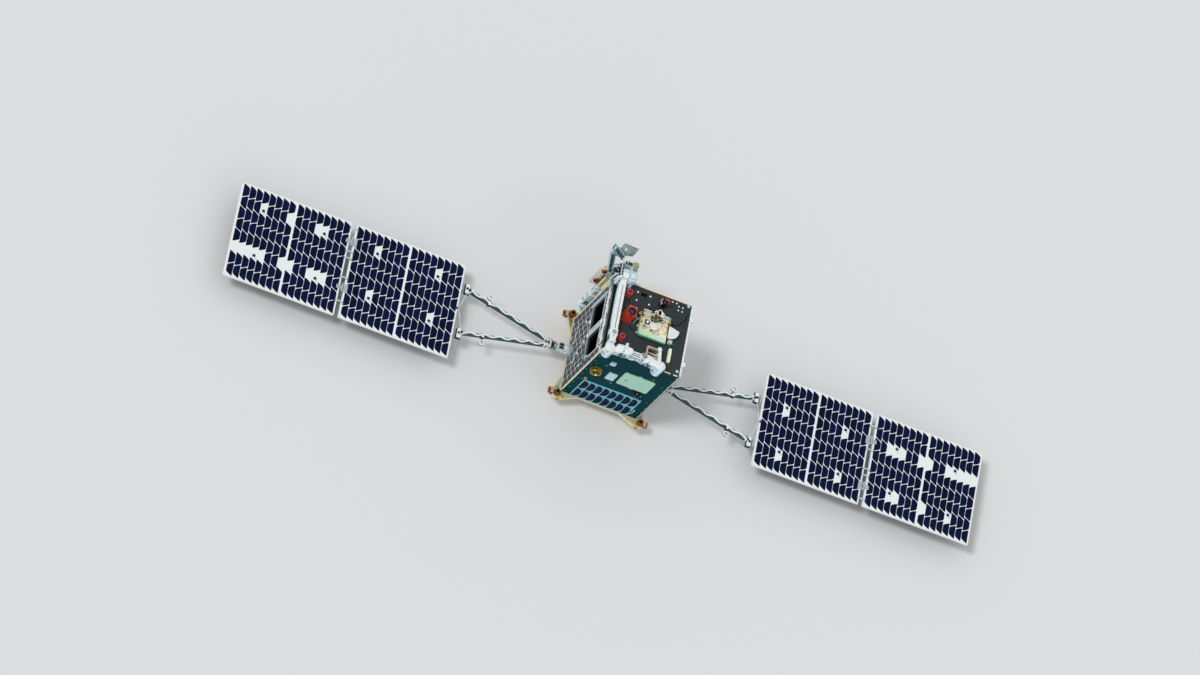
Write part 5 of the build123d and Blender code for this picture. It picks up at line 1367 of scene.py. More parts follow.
def head_trim():
    """Covers, seams, screws, connectors and lens of the sensor head."""
    b = Build()
    b.at(HEAD)
    wedge = [(0, 0), (139, 0), (58.4, 73.8), (0, 95)]
    for step, low, high, mat, chamfer in ((3.5, -0.4, 1.6, 2, 1), (12, 1.2, 2.8, 2, 1), (-1.2, -9, -6.5, 1, 0.5),
                                          (-1.2, -36.8, -34, 1, 0.5)):
        prism(b, inset(wedge, step), low, high, mat, chamfer)
    bolts(b, [*((139 * t, 7.5, 1.4) for t in (0.08, 0.3, 0.55, 0.8)), (7, 84, 1.4), (7, 46, 1.4), (52, 70, 1.4),
              (98, 30, 1.4)], UP, 2.2, 3)
    for k in range(7):
        box(b, 8.4 + 17.5 * k, 19.6 + 17.5 * k, -1.4, 0.6, -31, -13, 0 if k % 3 else 1, 0.8)
    for y, mat in ((20, 0), (44, 4), (68, 0)):
        box(b, -1.4, 0.6, y - 9, y + 9, -31, -12, mat, 0.8)
        bolts(b, grid(-1.2, y, (-28, -15)), MX, 1.8, 3)
    drum(b, (24, 10, 1.5), UP, 8, 9, 4, 28, 2)
    drum(b, (24, 10, 10), UP, 5, 3, 3, 20, 1)
    drum(b, (67, 27, 6), UP, 3, 2, 5, 14, 0.5)
    boxes(b, (60, 74, 22, 32, 1.2, 6, 6, 1), (56, 76, 10.4, 13.6, 1.4, 3.6, 1, 0.8),
          (84, 100, 8.4, 11.6, 1.4, 3.6, 1, 0.8), (28, 52, 38.4, 41.6, 1.4, 3.6, 1, 0.8))
    slant = (Vector(wedge[2]) - Vector(wedge[1])).normalized()
    for k, mat in enumerate((0, 1, 0, 6, 0)):
        b.at(HEAD @ shift(*(Vector(wedge[1]) + slant * (16 + 19 * k)), -21) @ spin(atan2(slant.y, slant.x)))
        box(b, -7.6, 7.6, -1.4, 1.2, -10, 9, mat, 0.8)
    b.at(HEAD @ shift(-30, 40, -59))
    for y in (-62, -31, 0, 31, 62):
        box(b, -7.4, 7.4, y - 3, y + 3, -18.2, 18.2, 5, 0.8)
    for y, mat in ((-46, 1), (-15, 7), (15, 7), (46, 7)):
        box(b, -7.2, -5.6, y - 11, y + 11, -13, 13, mat, 0.6)
        bolts(b, grid(-7.2, y, (8, -8)), MX, 1.8, 3)
    boxes(b, (-6.4, 6.4, -72, -69.4, -17.4, 17.4, 1, 0.8), (-6.4, 6.4, 69.4, 72, -17.4, 17.4, 4, 0.8),
          (-6.8, 6.8, -68, 68, -18.4, -16.8, 1, 0.5), (-6.8, 6.8, -68, 68, 16.8, 18.4, 1, 0.5))
    b.at()
    beads(b, grid((-329, -290), 455, 800), PX, 20.2, 1.6, 4, 32, 8)
    cap(b, (-286, 455, 800), PX, (17.5, 1.4, 14.5, 2.4, 7, 6, 1))
    bolts(b, around((-284, 455, 800), PX, 11, 6), PX, 1.8, 3)
    plates(b, (-309, 455, 800), "X", 9, (-13, 13, 19.2, 20.9, -4.6, 4.6), (0, 1), 0.5)
    for r, mat, *path in ((3.2, 1, (98, -2, -22), (92, -14, -34), (70, -18, -48), (44, -12, -58), (26, -8, -62)),
                          (2.4, 8, (84, -2, -20), (76, -12, -32), (54, -14, -44), (34, -6, -54), (18, -4, -62))):
        tube(b, [HEAD @ Vector(p) for p in path], r, mat)
    piece("head_trim", b, "head", "arm_grey pale_blue grey_housing steel white dark teal_metal teal_dark grey_cable")


def post_trim():
    """Hem, ribs, cables, connectors and hooks of the head's post."""
    b = Build()
    for x, s in ((-337.4, -1), (-302.6, 1)):
        boxes(b, (x - 1, x + 1, 312, 472, 748, 753, 0, 0.6), (x - 1, x + 1, 312, 472, 756, 761, 1, 0.6),
              (x - 1, x + 1, 312, 472, 768, 775, 0, 0.6))
        bolts(b, grid(x + s * 0.6, range(322, 459, 34), 764.5), (s, 0, 0), 2.4, 2)
    blocks(b, grid(-320, (330, 368, 406, 444), 760), (24, 5, 18), 3, 0.8)
    for x, mat, r in ((-327, 5, 3.6), (-320, 6, 3.0), (-313, 4, 3.4)):
        tubes(b, (r, mat, (x, 292, 772), (x, 330, 766), (x, 380, 764), (x, 430, 768), (x, 462, 782),
                  (x + 6, 476, 792)))
    boxes(b, (-329, -313, 345, 352, 751, 775, 4, 1), (-334, -306, 472, 480.5, 752, 776, 0, 2),
          (-303.6, -301.4, 222, 300, 748, 753, 0, 0.6), (-303.6, -301.4, 222, 300, 768, 773, 1, 0.6),
          (-303.6, -301.4, 282, 304, 752, 770, 9, 0.6), (-300, -268, 306, 309.5, 748, 774, 1, 1),
          (-296, -272, 308.5, 311, 752, 758, 0, 0.6))
    prism(b, [(-336, 470), (-330, 482), (-308, 482), (-303, 470)], 744.2, 748, 0, 1)
    tubes(b, (3.2, 7, (-333, 478, 776), (-330, 486, 792), (-320, 488, 806), (-308, 482, 812), (-300, 470, 806)),
          (2.6, 8, (-306, 478, 774), (-308, 484, 786), (-314, 486, 796), (-320, 482, 802)))
    bolts(b, around((-342, 455, 800), MX, 14, 6), MX, 2.0, 2)
    lathe(b, (-342, 455, 800), MX, [(0, -0.4), (10.5, -0.4), (10.5, 2), (8.5, 3.4), (0, 3.4)], 0, 24)
    bolts(b, grid(-302.4, range(230, 297, 22), (756, 766)), MX, 2.2, 2)
    bolts(b, grid((-294, -274), 309.5, 768), PY, 2.4, 2)
    piece("post_trim", b, "bus", "white pale_blue steel dark teal_metal grey_cable black_paint tan_metal olive "
          "teal_dark")


def shoulder_trim():
    """Covers, seams, lugs, connectors and caps of the fixed shoulder."""
    b = Build()
    for x, s in ((-182, 1), (-292, -1)):
        for y0, y1, z0, z1, mat in ((228, 332, 913, 917, 1), (228, 332, 822, 826, 1), (226.6, 231.4, 826, 913, 0),
                                    (328.6, 333.4, 826, 913, 0)):
            box(b, x - 1.0, x + 1.2, y0, y1, z0, z1, mat, 0.6)
        bolts(b, grid(x + s * 0.4, (234, 280, 326), (818, 920)), (s, 0, 0), 2.2, 3)
    cap(b, (-170, 262, 871), PX, (31, 1.6, 28, 3, 14, 12.5, 1.4), 0, 40)
    bolts(b, around((-167.4, 262, 871), PX, 21, 8, 0.5), PX, 2.4, 3)
    bead(b, (-176, 262, 871), PX, 34.4, 1.6, 1, 40, 8)
    cap(b, (-292, 262, 871), MX, (24, 2, 21, 3.4, 10, 8, 1.6), 1, 36)
    bolts(b, around((-295, 262, 871), MX, 16, 6), MX, 2.2, 3)
    for x0, x1, mat in ((-290, -281.6, 0), (-222.4, -184, 1)):
        pads(b, 922.6, 924.6, mat, 1.2, 2.5, 3, (x0, x1, 222, 338))
        bolts(b, grid((x0 + x1) / 2, (230, 258, 286, 314, 332), 924.4), UP, 2.2, 3)
    pads(b, 924, 930, 0, 1.6, 3, 3, (-219, -188, 240, 268))
    pads(b, 924, 928, 6, 1.4, 3, 3, (-216, -191, 292, 312))
    drums(b, grid((-211, -203, -195), 254, 930), UP, 2.6, 2, 3, 14, 0.6)
    for y0, y1, z0, z1, mat in ((284, 312, 884, 906, 6), (240, 262, 826, 838, 5), (300, 322, 832, 856, 6)):
        box(b, -183, -175, y0, y1, z0, z1, mat, 2)
        drums(b, grid(-175, (y0 + 6, y1 - 6), (z0 + z1) / 2), PX, 3.4, 3, 3, 16, 0.8)
    drums(b, grid(-182, (300, 312, 324), 870), PX, 4.4, 8, 7, 18, 1.2)
    for x0, x1, z0, z1, mat in ((-274, -250, 852, 896, 6), (-240, -214, 858, 890, 0), (-206, -196, 850, 898, 5)):
        box(b, x0, x1, 344, 352, z0, z1, mat, 2)
        bolts(b, grid((x0 + x1) / 2, 351.6, (z0 + 7, z1 - 7)), PY, 2.4, 3)
    bolts(b, grid((-286, -252, -218, -190), 345, 914), PY, 2.4, 3)
    drums(b, grid((-272, -232), 318, 842), UP, 5, 12, 3, 18, 1)
    blocks(b, grid((-280.4, -223.6), 211.2, 836), (3.2, 6.4, 16), 5, 0.8)
    blocks(b, grid((-280.4, -223.6), 211.2, 860), (3.2, 6.4, 16), 0, 0.8)
    for x0, x1, z0, z1, mat in ((-291, -281, 866, 908, 1), (-222, -206, 878, 908, 0), (-204, -186, 872, 904, 1),
                                (-222, -206, 840, 868, 5), (-204, -186, 836, 862, 0)):
        box(b, x0, x1, 211.6, 216, z0, z1, mat, 1.2)
        bolts(b, grid((x0 + x1) / 2, 211.6, (z0 + 5, z1 - 5)), MY, 1.9, 3)
    for point, r, h, mat, n, edge in (
            ((-309, 262, 862), 10, 9, 4, 26, 2), ((-309, 300, 862), 12, 13, 9, 26, 2),
            ((-309, 300, 875), 7, 4, 3, 20, 1), ((-166, 284, 812), 13, 14, 1, 28, 2),
            ((-166, 284, 826), 8, 4, 7, 22, 1)):
        drum(b, point, UP, r, h, mat, n, edge)
    for y, mat in ((258, 6), (283, 4), (308, 6)):
        box(b, -324, -320, y - 6, y + 6, 818, 856, mat, 1.4)
        bolts(b, [(-324, y, 850)], MX, 2, 3)
    for y, z, r, h, mat in ((250, 896, 9, 5, 4), (278, 890, 11, 6, 7), (306, 896, 9, 5, 4), (322, 866, 7, 6, 6),
                            (246, 862, 7, 4, 6)):
        drum(b, (-299, y, z), MX, r, h, mat, 26, 2)
        drum(b, (-299 - h, y, z), MX, r * 0.5, 2, 0, 18, 0.7)
    drums(b, grid(-286, (244, 268, 292, 316), 928), UP, 3.6, 6, 4, 18, 1)
    lathe(b, (-200, 224, 815), UP, [(18, -3), (27, -3), (27, 3), (24, 6), (18, 6)], 1, 32, True)
    bolts(b, ((-158, 304, 818), (-158, 322, 818), (-172, 304, 818)), UP, 3, 3)
    boxes(b, (-280, -194, 344.2, 346.4, 903, 907, 1, 0.6), (-280, -194, 344.2, 346.4, 840, 844, 1, 0.6),
          (-276, -262, 318, 325, 830, 842, 7, 1.2), (-256, -246, 318, 325, 830, 842, 3, 1.2),
          (-240, -228, 318, 325, 830, 842, 7, 1.2), (-222, -186, 212.6, 216, 822.6, 825.4, 1, 0.6),
          (-222, -186, 212.6, 216, 828.6, 831.4, 1, 0.6), (-299, -291.6, 236, 330, 846, 908, 7, 2.5),
          (-322, -296, 250, 316, 812, 862, 7, 5), (-276, -228, 322, 343, 922.6, 932, 7, 2),
          (-272, -256, 325, 340, 931.6, 939, 8, 1.6), (-250, -234, 325, 340, 931.6, 936, 9, 1.6),
          (-303, -291.6, 262, 296, 848, 860, 0, 1.5), (-303, -291.6, 300, 316, 846, 858, 5, 1.5),
          (-303, -291.6, 224, 236, 850, 900, 0, 1.5), (-303, -291.6, 330, 342, 846, 900, 0, 1.5),
          (-290.4, -281.6, 232, 326, 922.6, 928, 7, 1.4), (-222, -184, 318, 343, 923, 940, 4, 2.4),
          (-219, -187, 321, 340, 939.6, 942, 8, 1), (-218, -206, 343, 356, 890, 936, 8, 2),
          (-200, -188, 343, 356, 896, 936, 8, 2), (-224, -182, 300, 308, 924, 934, 8, 2),
          (-196, -150, 296, 330, 812, 818, 0, 2))
    tubes(b, (3.2, 2, (-174, 312, 870), (-168, 322, 860), (-172, 340, 842), (-190, 349, 832), (-230, 350, 828)),
          (2.8, 7, (-174, 300, 870), (-166, 306, 850), (-172, 322, 826), (-180, 336, 816)),
          (3.6, 0, (-320, 244, 800), (-324, 240, 826), (-322, 240, 856), (-314, 246, 878), (-302, 256, 886)),
          (3.2, 1, (-318, 322, 800), (-324, 326, 826), (-322, 326, 852), (-312, 322, 872), (-300, 316, 880)),
          (2.6, 6, (-316, 334, 796), (-320, 338, 824), (-314, 338, 852), (-302, 334, 868)),
          (3.0, 2, (-302, 228, 846), (-306, 240, 838), (-304, 262, 834), (-298, 290, 834), (-296, 320, 838)),
          (2.6, 2, (-166, 284, 828), (-158, 270, 838), (-166, 250, 836), (-182, 238, 828)))
    piece("shoulder_trim", b, "bus", "white pale_blue white_cable steel arm_grey green teal_metal dark olive "
          "teal_dark")


# Flared bracket and the second arm

def flare_trim():
    """Bolted cover, stripes of painted light and shade across its curved skirt, pads and nozzle rims of the flared
    bracket.
    """
    b = Build()
    outline = [(-382, 590), (-369, 575.5), (-344, 575.5), (-344, 796), (-368, 796), (-382, 782)]
    screws = [(-376, 596), (-376, 640), (-377, 686), (-377, 732), (-376, 776), (-362, 790), (-350, 790), (-364, 582),
              (-349, 584), (-348, 666), (-348, 708), (-348, 750)]
    for y, s, low, high, chamfer in ((308, -1, -0.4, 1.4, 0.7), (318, 1, -1.4, 0.4, 0)):
        prism(b, outline, low, high, 0, chamfer, shift(0, y, 0) @ spin(pi / 2, "X"))
        bolts(b, [(x, y + s * 1.2, z) for x, z in screws], (0, s, 0), 2.2, 2)
        box(b, -344.6, -341.5, y - 0.6, y + 0.6, 577, 795, 4, 0.5)
    x = -357.5
    for z in (638, 776):
        bead(b, (x, 293.9, z), MY, 15.4, 1.9, 3, 36, 8)
        lathe(b, (x, 293.9, z), MY, [(0, -11), (12.4, -11), (12.9, -2), (0, -2)], 5, 32)
        bead(b, (x, 305, z), MY, 16.5, 2.2, 1, 36, 8)
        bolts(b, around((x, 306.6, z), MY, 21, 6), MY, 1.9, 2)
        drum(b, (x, 318, z), PY, 12, 15, 6, 28, 2)
        drum(b, (x, 333, z), PY, 7, 8, 1, 22, 1)
        tubes(b, (3, 6, (x, 340, z), (-352, 344, z - 10), (-340, 336, z - 22), (-320, 322, z - 30),
                  (-300, 306, z - 34)))
    blocks(b, grid(-353.5, 305.7, (600, 668, 700, 736)), (9, 4.6, 12), 1, 1.2)
    drums(b, grid(-353.5, 303.6, (600, 668, 700, 736)), MY, 3, 2, 2, 14, 0.5)
    start, end = Vector((-343.4, 307.8)), Vector((-286.6, 282.2))
    normal = Vector((end.y - start.y, start.x - end.x)).normalized()
    # Painted light and shade: stripes in dark olive, ivory and olive paint the shading across a curved skirt.
    for t0, t1, mat in ((0.03, 0.26, 7), (0.30, 0.42, 8), (0.46, 0.78, 9), (0.82, 0.97, 8)):
        p, q = start.lerp(end, t0), start.lerp(end, t1)
        for low, high in ((588, 662), (666, 739)):
            prism(b, [p - normal * 0.4, q - normal * 0.4, q + normal * 1.2, p + normal * 1.2], low, high, mat, 0.4)
    for x, y in ((-329.56, 314.768), (-294.76, 301.328)):
        bolts(b, grid(x, y, (598, 625, 652, 678, 705, 730)), (0.35, 0.93, 0), 2.4, 2)
    box(b, -279, -258, 289, 292, 592, 736, 0, 1)
    bolts(b, grid(-268, 291.6, (600, 634, 668, 702, 730)), PY, 2.8, 2)
    piece("flare_trim", b, "bus", "white copper_bright steel copper cream_edge black_hole tan_metal olive_dark "
          "ivory_light olive")


def edge_arm_trim():
    """Caps, covers, facets, cables and fittings of the second arm."""
    base = Build()
    box(base, -256, -230, 290, 350, 512, 516, 1, 1)
    bolts(base, grid(-228, (290, 318, 346), (502, 548)), PX, 2.8, 2)
    cap(base, (-228, 337, 537), PX, (22, 2, 19, 3.6, 9, 8, 2), 0, 32)
    bolts(base, around((-225, 337, 537), PX, 14, 6), PX, 2.2, 2)
    pads(base, 490, 560, 0, 2, 1, 2, (-262, -224, 278.2, 283))
    tube(base, [(-243, 290, 552), (-236, 300, 562), (-226, 312, 560), (-222, 324, 548)], 3, 3)
    drum(base, (-243, 300, 553), UP, 8, 8, 4, 22, 1.4)
    piece("edge_base_trim", base, "bus", "white pale_blue steel white_cable teal_metal")
    b = Build()
    for z, s in ((245, -1), (537, 1)):
        cap(b, (-308, 337, z), MX, (27, 2, 24, 3.6, 12, 10, 1.8), 0, 36)
        bolts(b, around((-310.4, 337, z), MX, 18, 8), MX, 2.2, 2)
        for k in range(12):
            a = 2 * pi * k / 12
            if s * sin(a) > -0.6:
                b.at(shift(-285, 337, z) @ spin(a, "X"))
                box(b, -19, 19, 29.2, 31, -5.6, 5.6, 0 if k % 3 else 1, 0.6)
        b.at()
    for z0, z1, mat in ((276, 330, 4), (424, 502, 0)):
        boxes(b, (-305.6, -303, 324, 350, z0, z1, 0, 1), (-306.4, -305, 341, 345, z0 + 8, z1 - 8, 6, 0.4),
              (-300, -266, 356, 358.6, z0, z1, 0, 1), (-300, -266, 315.4, 318, z0, z1, mat, 1))
        for k in range((z1 - z0 - 14) // 13):
            z = z0 + 9 + 13 * k
            corner = (327, z + 9) if k % 2 else (336, z)
            prism(b, [(327, z), corner, (336, z + 9)], 305, 306.6, 8, 0, FACE_MX)
            boxes(b, (-296 + k % 2 * 4, -287 + k % 2 * 4, 314.4, 316, z, z + 8, 8, 0.3),
                  (-280, -271, 314.4, 316, z, z + 8, 8 if k % 3 else 6, 0.3))
    for y0, y1, z0, z1, mat in ((318, 326, 256, 270, 5), (346, 356, 262, 272, 8), (330, 344, 262, 269, 6),
                                (317, 323, 506, 520, 8), (350, 357, 508, 520, 5), (328, 346, 507, 513, 4)):
        box(b, -309.6, -303, y0, y1, z0, z1, mat, 1)
        bolts(b, grid(-305.4, (328, 346), (z0 + 6, z1 - 6)), MX, 2.0, 2)
        bolts(b, grid((-294, -272), 358.4, (z0 + 6, z1 - 6)), PY, 2.0, 2)
    for z, outer, upper in ((343, 0, 4), (375, 4, 0), (407, 0, 0)):
        boxes(b, (-311.6, -309, 316, 358, z - 10, z + 10, outer, 1), (-302, -266, 363.4, 366, z - 9, z + 9, upper, 1))
        bolts(b, grid(-311.4, (321, 353), z), MX, 2.2, 2)
    for z, mat in ((352, 5), (398, 6)):
        box(b, -296, -274, 365.5, 370, z - 7, z + 7, mat, 1)
        drums(b, grid((-290, -280), 370, z), PY, 2.6, 2, 2, 14, 0.5)
    tubes(b, (3.0, 3, (-302, 356, 520), (-309, 354, 480), (-310, 352, 440), (-312.5, 352, 400), (-313, 350, 350),
              (-309, 350, 310), (-306, 352, 270)),
          (2.6, 7, (-268, 360, 510), (-266, 362, 470), (-268, 363, 430), (-268, 368, 400), (-268, 368, 350),
           (-266, 362, 310), (-268, 360, 272)))
    piece("edge_arm_trim", b, "edge_arm", "white pale_blue steel white_cable arm_grey green teal_metal grey_cable "
          "dark")
    c = Build()
    plates(c, (-248.5, 337, 245), "X", 12, (-10, 10, 25.2, 27, -5.4, 5.4), (0, 1, 0), 0.6)
    cap(c, (-236, 337, 245), PX, (23, 1.6, 20, 3, 13, 12, 1.2), 0, 36)
    bolts(c, around((-233.4, 337, 245), PX, 16.5, 6), PX, 2.0, 2)
    for y, s in ((317, -1), (357, 1)):
        box(c, -256, -240, y - 1.2, y + 1.2, 188, 216, 4, 0.8)
        bolts(c, grid(-248, y + s, (193, 211)), (0, s, 0), 2.0, 2)
    bead(c, (-248, 337, 174), UP, 24.4, 1.6, 1, 36, 8)
    bolts(c, around((-248, 337, 167), DOWN, 18, 8, 0.5), DOWN, 2.2, 2)
    cap(c, (-248, 337, 167), DOWN, (11, 4, 9, 5.6, 5, 4.4, 2), 5)
    plates(c, (-248, 337, 0), "Z", 3, (13, 20, -4, 4, 181, 190), (6,), 1.4, 0.75)
    tube(c, [(-240, 352, 222), (-236, 360, 206), (-238, 360, 192), (-242, 352, 182)], 2.4, 3)
    piece("edge_wrist_trim", c, "edge_wrist", "white pale_blue steel white_cable arm_grey dark teal_metal")


head_trim()
post_trim()
shoulder_trim()
flare_trim()
edge_arm_trim()


# Wing drives, yokes and the cables across the hinges; the left wing is the right one turned round

JUMPER_Y = (270, 90, -60, -110, -290)


def wing_place(side):
    return spin(pi if side == "left" else 0)


def drive_trim(side):
    """Covers, screws, channels and connectors of one wing drive, and the fittings of its turning head."""
    b = Build(wing_place(side))
    bolts(b, grid(289, (-40, 34), (142, 170, 198)), PX, 3.4, 2)
    pads(b, 191.4, 194.4, 0, 1.6, 4, 3, (298, 366, -22, 19))
    bolts(b, grid((304, 332, 360), (-18, 15), 194.2), UP, 2.2, 2)
    for y, s in ((-27, -1), (24, 1)):
        boxes(b, (300, 364, y - 1.6, y + 1.6, 152, 162, 1, 1), (300, 364, y - 1.4, y + 1.4, 166, 188, 0, 1))
        bolts(b, grid((306, 332, 358), y + s * 1.2, (184, 170)), (0, s, 0), 2.0, 2)
    boxes(b, (292, 370, -24, 21, 144.5, 148.6, 1, 1.4), (306, 332, -9, 7, 193.8, 203, 0, 1.6),
          (340, 368, -22, -6, 193.8, 208, 4, 2), (340, 368, 2, 18, 193.8, 208, 4, 2))
    drums(b, grid((347, 361), (-14, 10), 208), UP, 4, 3, 2, 16, 1)
    tubes(b, (3, 3, (340, -14, 201), (328, -20, 204), (308, -30, 200), (294, -36, 190), (288, -38, 176)),
          (3, 3, (340, 10, 201), (326, 14, 206), (306, 26, 200), (294, 31, 192), (287, 33, 180)))
    lathe(b, (372, 0, DRIVE_Z), PX, [(21, 0), (25.4, 0), (26, 1.4), (26, 3.4), (25.4, 4.8), (21, 4.8)], 0, 40, True)
    bead(b, (381.5, 0, DRIVE_Z), PX, 23.6, 1.2, 2, 40, 6)
    piece(f"{side}_drive_trim", b, "bus", "white pale_blue steel white_cable dark")
    c = Build(wing_place(side))
    bead(c, (387.2, 0, DRIVE_Z), PX, 21.6, 1.3, 1, 40, 6)
    bolts(c, grid(397.5, (-29, 29), (165, 175)), PX, 1.7, 1)
    for s in SIGNS:
        cap(c, (407, s * 30, DRIVE_Z), (0, s, 0), (6.6, 1.8, 5.2, 3, 2.6, 2.2, 1.6), 1, 20)
        bead(c, (407, s * 29.7, DRIVE_Z), (0, s, 0), 8.6, 1.0, 0, 24, 6)
    pads(c, 177.6, 180, 0, 0.8, 1.5, 2, (389.6, 397, -26, 26))
    blocks(c, grid(393.2, (-20, 20), 179), (6.8, 10, 4), 2, 0.8)
    piece(f"{side}_drive_hub_trim", c, f"{side}_drive_head", "pale_blue steel dark")


def beam_y(x, s):
    """The middle of a yoke's beam, from its root to its tip."""
    return s * (18 + (x - 446) * (164 - 18) / (1058 - 446))


def yoke_trim(side):
    """Root cover, clamps, end fittings, edge strips and the white cable on both beams."""
    b = Build(wing_place(side))
    pads(b, 182.6, 185.4, 0, 1.4, 4, 3, (423, 457, -30, 30))
    pads(b, 154.8, 157.4, 1, 0, 4, 3, (423, 457, -30, 30))
    bolts(b, grid((428, 452), (-25, -9, 9, 25), 185.2), UP, 2.0, 2)
    box(b, 436, 454, -7, 7, 185, 189.6, 3, 1.6)
    drum(b, (445, 0, 189.6), UP, 4, 1.6, 2, 18, 0.6)
    for s in SIGNS:
        box(b, 424, 456, s * 34 - 1.2, s * 34 + 1.2, 160, 180, 1 if s < 0 else 0, 0.8)
        bolts(b, grid((430, 450), s * 34.8, 170), (0, s, 0), 2.4, 2)
        for (x0, x1), dy in product(((474, 640), (652, 876), (918, 1036)), (-8.3, 8.3)):
            p, q = beam_y(x0, s) + dy, beam_y(x1, s) + dy
            strip = [(x0, p - 0.7), (x1, q - 0.7), (x1, q + 0.7), (x0, p + 0.7)]
            prism(b, strip, 181.0, 183.4, 4, 0.3)
            prism(b, strip, 156.6, 159.0, 4)
        blocks(b, [(x, beam_y(x, s), 170.2) for x in (646, 770, 983)], (10, 19.2, 28.8), 5, 1)
        blocks(b, [(x, beam_y(x, s), 170.3) for x in (468, 1040)], (12, 19.6, 29), 0, 1.2)
        bolts(b, [(x, beam_y(x, s) + s * 9.6, 170) for x in (468, 1040)], (0, s, 0), 2.4, 2)
        y = beam_y(897, s)
        bolts(b, grid((889, 905), (y - 10, y + 10), 183), UP, 2.2, 2)
        lathe(b, (897, y + s * 48, 174), UP,
              [(13.2, -0.5), (20.8, -0.5), (20.8, 1.0), (19, 2.0), (15, 2.0), (13.2, 1.0)], 0, 32, True)
        lathe(b, (897, y + s * 48, 166), DOWN,
              [(13.2, -0.5), (20.8, -0.5), (20.8, 0.8), (19, 1.6), (15, 1.6), (13.2, 0.8)], 2, 32, True)
        tip = s * 170
        bolts(b, grid(1054, (tip - 30, tip - 10, tip + 10, tip + 30), 182), UP, 2.2, 2)
        boxes(b, (889, 905, y - 14, y + 14, 182.6, 184.4, 0, 0.8),
              (1048, 1078, tip - 36, tip + 36, 181.6, 183.2, 0, 0.6),
              (1060, 1074, tip - 8, tip + 8, 182.6, 187, 3, 1))
    piece(f"{side}_yoke_trim", b, f"{side}_yoke_arm", "white pale_blue steel dark edge_teal teal_dark")
    c = Build(wing_place(side))
    for s in SIGNS:
        wave = [(x, beam_y(x, s) + (6.5 if k % 2 else -6.5) * s, 188.6)
                for k, x in enumerate(476 + step * 51.2 for step in range(12))]
        tube(c, [(446, s * 12, 187), (458, beam_y(458, s), 188), *wave, (1050, beam_y(1050, s), 187.5)],
             5.2, 0, 10, 5)
        blocks(c, [(x, beam_y(x, s), 188.6) for x in (552.8, 706.4, 860.0, 1013.6)], (6, 14, 12), 1, 1.4)
        drum(c, (446, s * 12, 185), UP, 7, 6, 2, 20, 1.4)
        blocks(c, [(1048, beam_y(1050, s), 188.3)], (16, 16, 11.4), 2, 1.6)
    cable = piece(f"{side}_harness_cable", c, f"{side}_yoke_arm", "cable_white pale_blue dark")
    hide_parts(f"{side}_harness")


def hinge_cables(side):
    """Thin wires from the yoke's tips to the inner panel, and jumpers across the mid hinge."""
    b = Build(wing_place(side))
    for s in SIGNS:
        tube(b, [(1052, s * 152, 190), (1062, s * 132, 194), (1076, s * 96, 196), (1088, s * 50, 194),
                 (1099, s * 14, 190), (1112, s * 5, 187.5)], 1.7, 0, 8, 8)
        for x, y in ((1067, 122), (1083, 74)):
            bead(b, (x, s * y, 195.5), (0.4, -s * 0.9, 0), 2.0, 1.0, 1, 14, 6)
    wire = piece(f"{side}_root_wires", b, None, "cable_white teal_metal")
    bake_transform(wire)
    c = Build(wing_place(side))
    for y0, dy in product(JUMPER_Y, (-4, 0, 4)):
        arch = ((1884, 187), (1893, 192), (1904, 197), (1914, 198.4), (1924, 197), (1935, 192), (1944, 187))
        tube(c, [(x, y0 + dy, z) for x, z in arch], 1.3, 1 if dy else 0, 8, 5)
    jump = piece(f"{side}_mid_jumpers", c, None, "cable_white pale_blue")
    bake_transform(jump)
    for x, body in ((1882, "inner"), (1946, "outer")):
        d = Build(wing_place(side))
        blocks(d, grid(x, JUMPER_Y, 188.3), (12, 18, 5.4), 0, 1.2)
        bolts(d, [(x, y + dy, 190.8) for y in JUMPER_Y for dy in (-6, 6)], UP, 1.4, 1)
        if body == "inner":
            blocks(d, grid(1113, (5, -5), 188.1), (10, 8, 5), 0, 1)
        piece(f"{side}_{body}_sockets", d, f"{side}_{body}_wing", "dark steel")


for side in ("right", "left"):
    drive_trim(side)
    yoke_trim(side)
    hinge_cables(side)


# Stage, light and camera

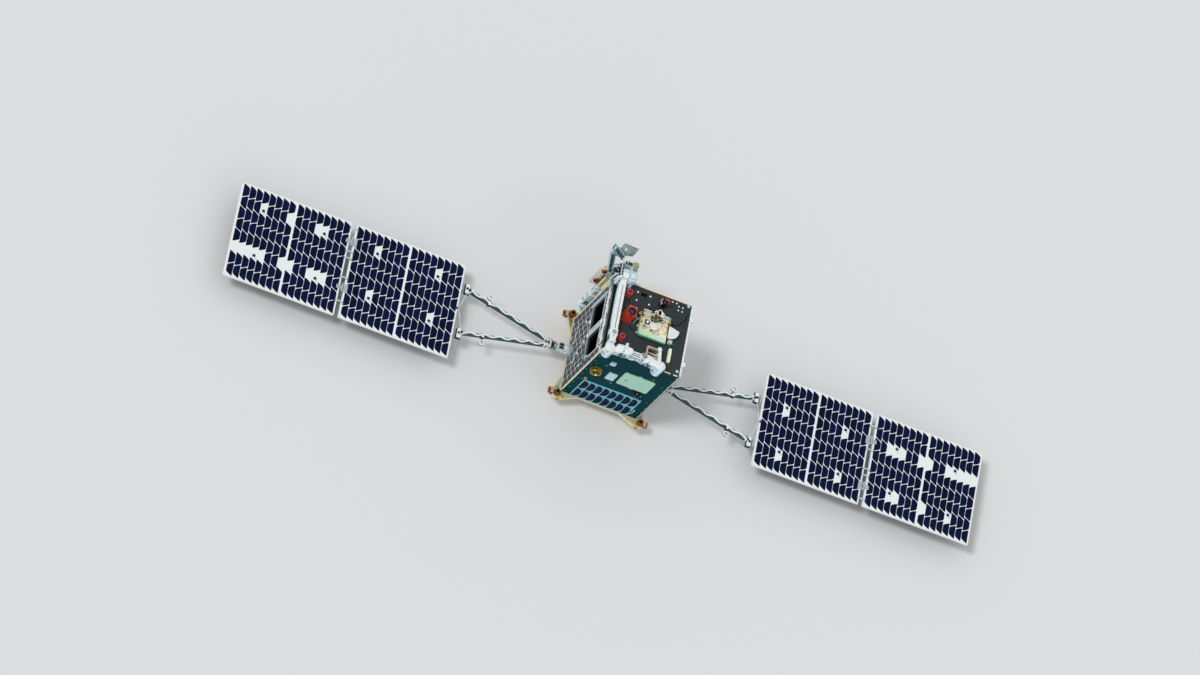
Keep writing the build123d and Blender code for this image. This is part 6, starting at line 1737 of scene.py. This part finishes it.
def stage():
    """A plain pale floor, an even world and two soft lamps."""
    mesh = bpy.data.meshes.new("floor")
    reach = 120.0
    mesh.from_pydata([(reach * x, reach * y, 0) for x, y in ((-1, -1), (1, -1), (1, 1), (-1, 1))], [], [(0, 1, 2, 3)])
    floor = bpy.data.objects.new("floor", mesh)
    bpy.context.scene.collection.objects.link(floor)
    Nodes("floor").set(Base_Color=rgb("e3e4e4"), Roughness=0.9, Specular_IOR_Level=0.1)
    mesh.materials.append(MAT["floor"])

    world = bpy.data.worlds.new("studio")
    bpy.context.scene.world = world
    world.use_nodes = True
    back = world.node_tree.nodes["Background"]
    back.inputs["Color"].default_value = (0.93, 0.95, 0.97, 1.0)
    back.inputs["Strength"].default_value = 0.62

    for label, direction, strength, angle in (
            ("key", (-0.55, -0.25, 0.8), 1.25, 12.0), ("fill", (0.35, -0.9, 0.25), 0.35, 60.0)):
        lamp = bpy.data.lights.new(label, "SUN")
        lamp.energy = strength
        lamp.angle = radians(angle)
        obj = bpy.data.objects.new(label, lamp)
        bpy.context.scene.collection.objects.link(obj)
        obj.rotation_mode = "QUATERNION"
        obj.rotation_quaternion = Vector(direction).to_track_quat("Z", "Y")


def camera():
    """The photograph's viewpoint, with its roll; the focal length is a fitted value in pixels."""
    data = bpy.data.cameras.new("camera")
    data.sensor_fit = "HORIZONTAL"
    data.sensor_width = 36.0
    focal_pixels, photo_width = 8770.3, 1200
    data.lens = data.sensor_width * focal_pixels / photo_width
    data.clip_start, data.clip_end = 1.0, 500.0
    obj = bpy.data.objects.new("camera", data)
    bpy.context.scene.collection.objects.link(obj)
    axes = Matrix(((0.89834, 0.16371, 0.40766), (-0.33768, 0.85090, 0.40241), (-0.28100, -0.49916, 0.81968)))
    obj.rotation_mode = "QUATERNION"
    obj.rotation_quaternion = axes.transposed().to_quaternion()
    obj.location = (-16.370, -28.728, 47.647)
    bpy.context.scene.camera = obj


stage()
camera()
bpy.context.scene.view_settings.view_transform = "Standard"
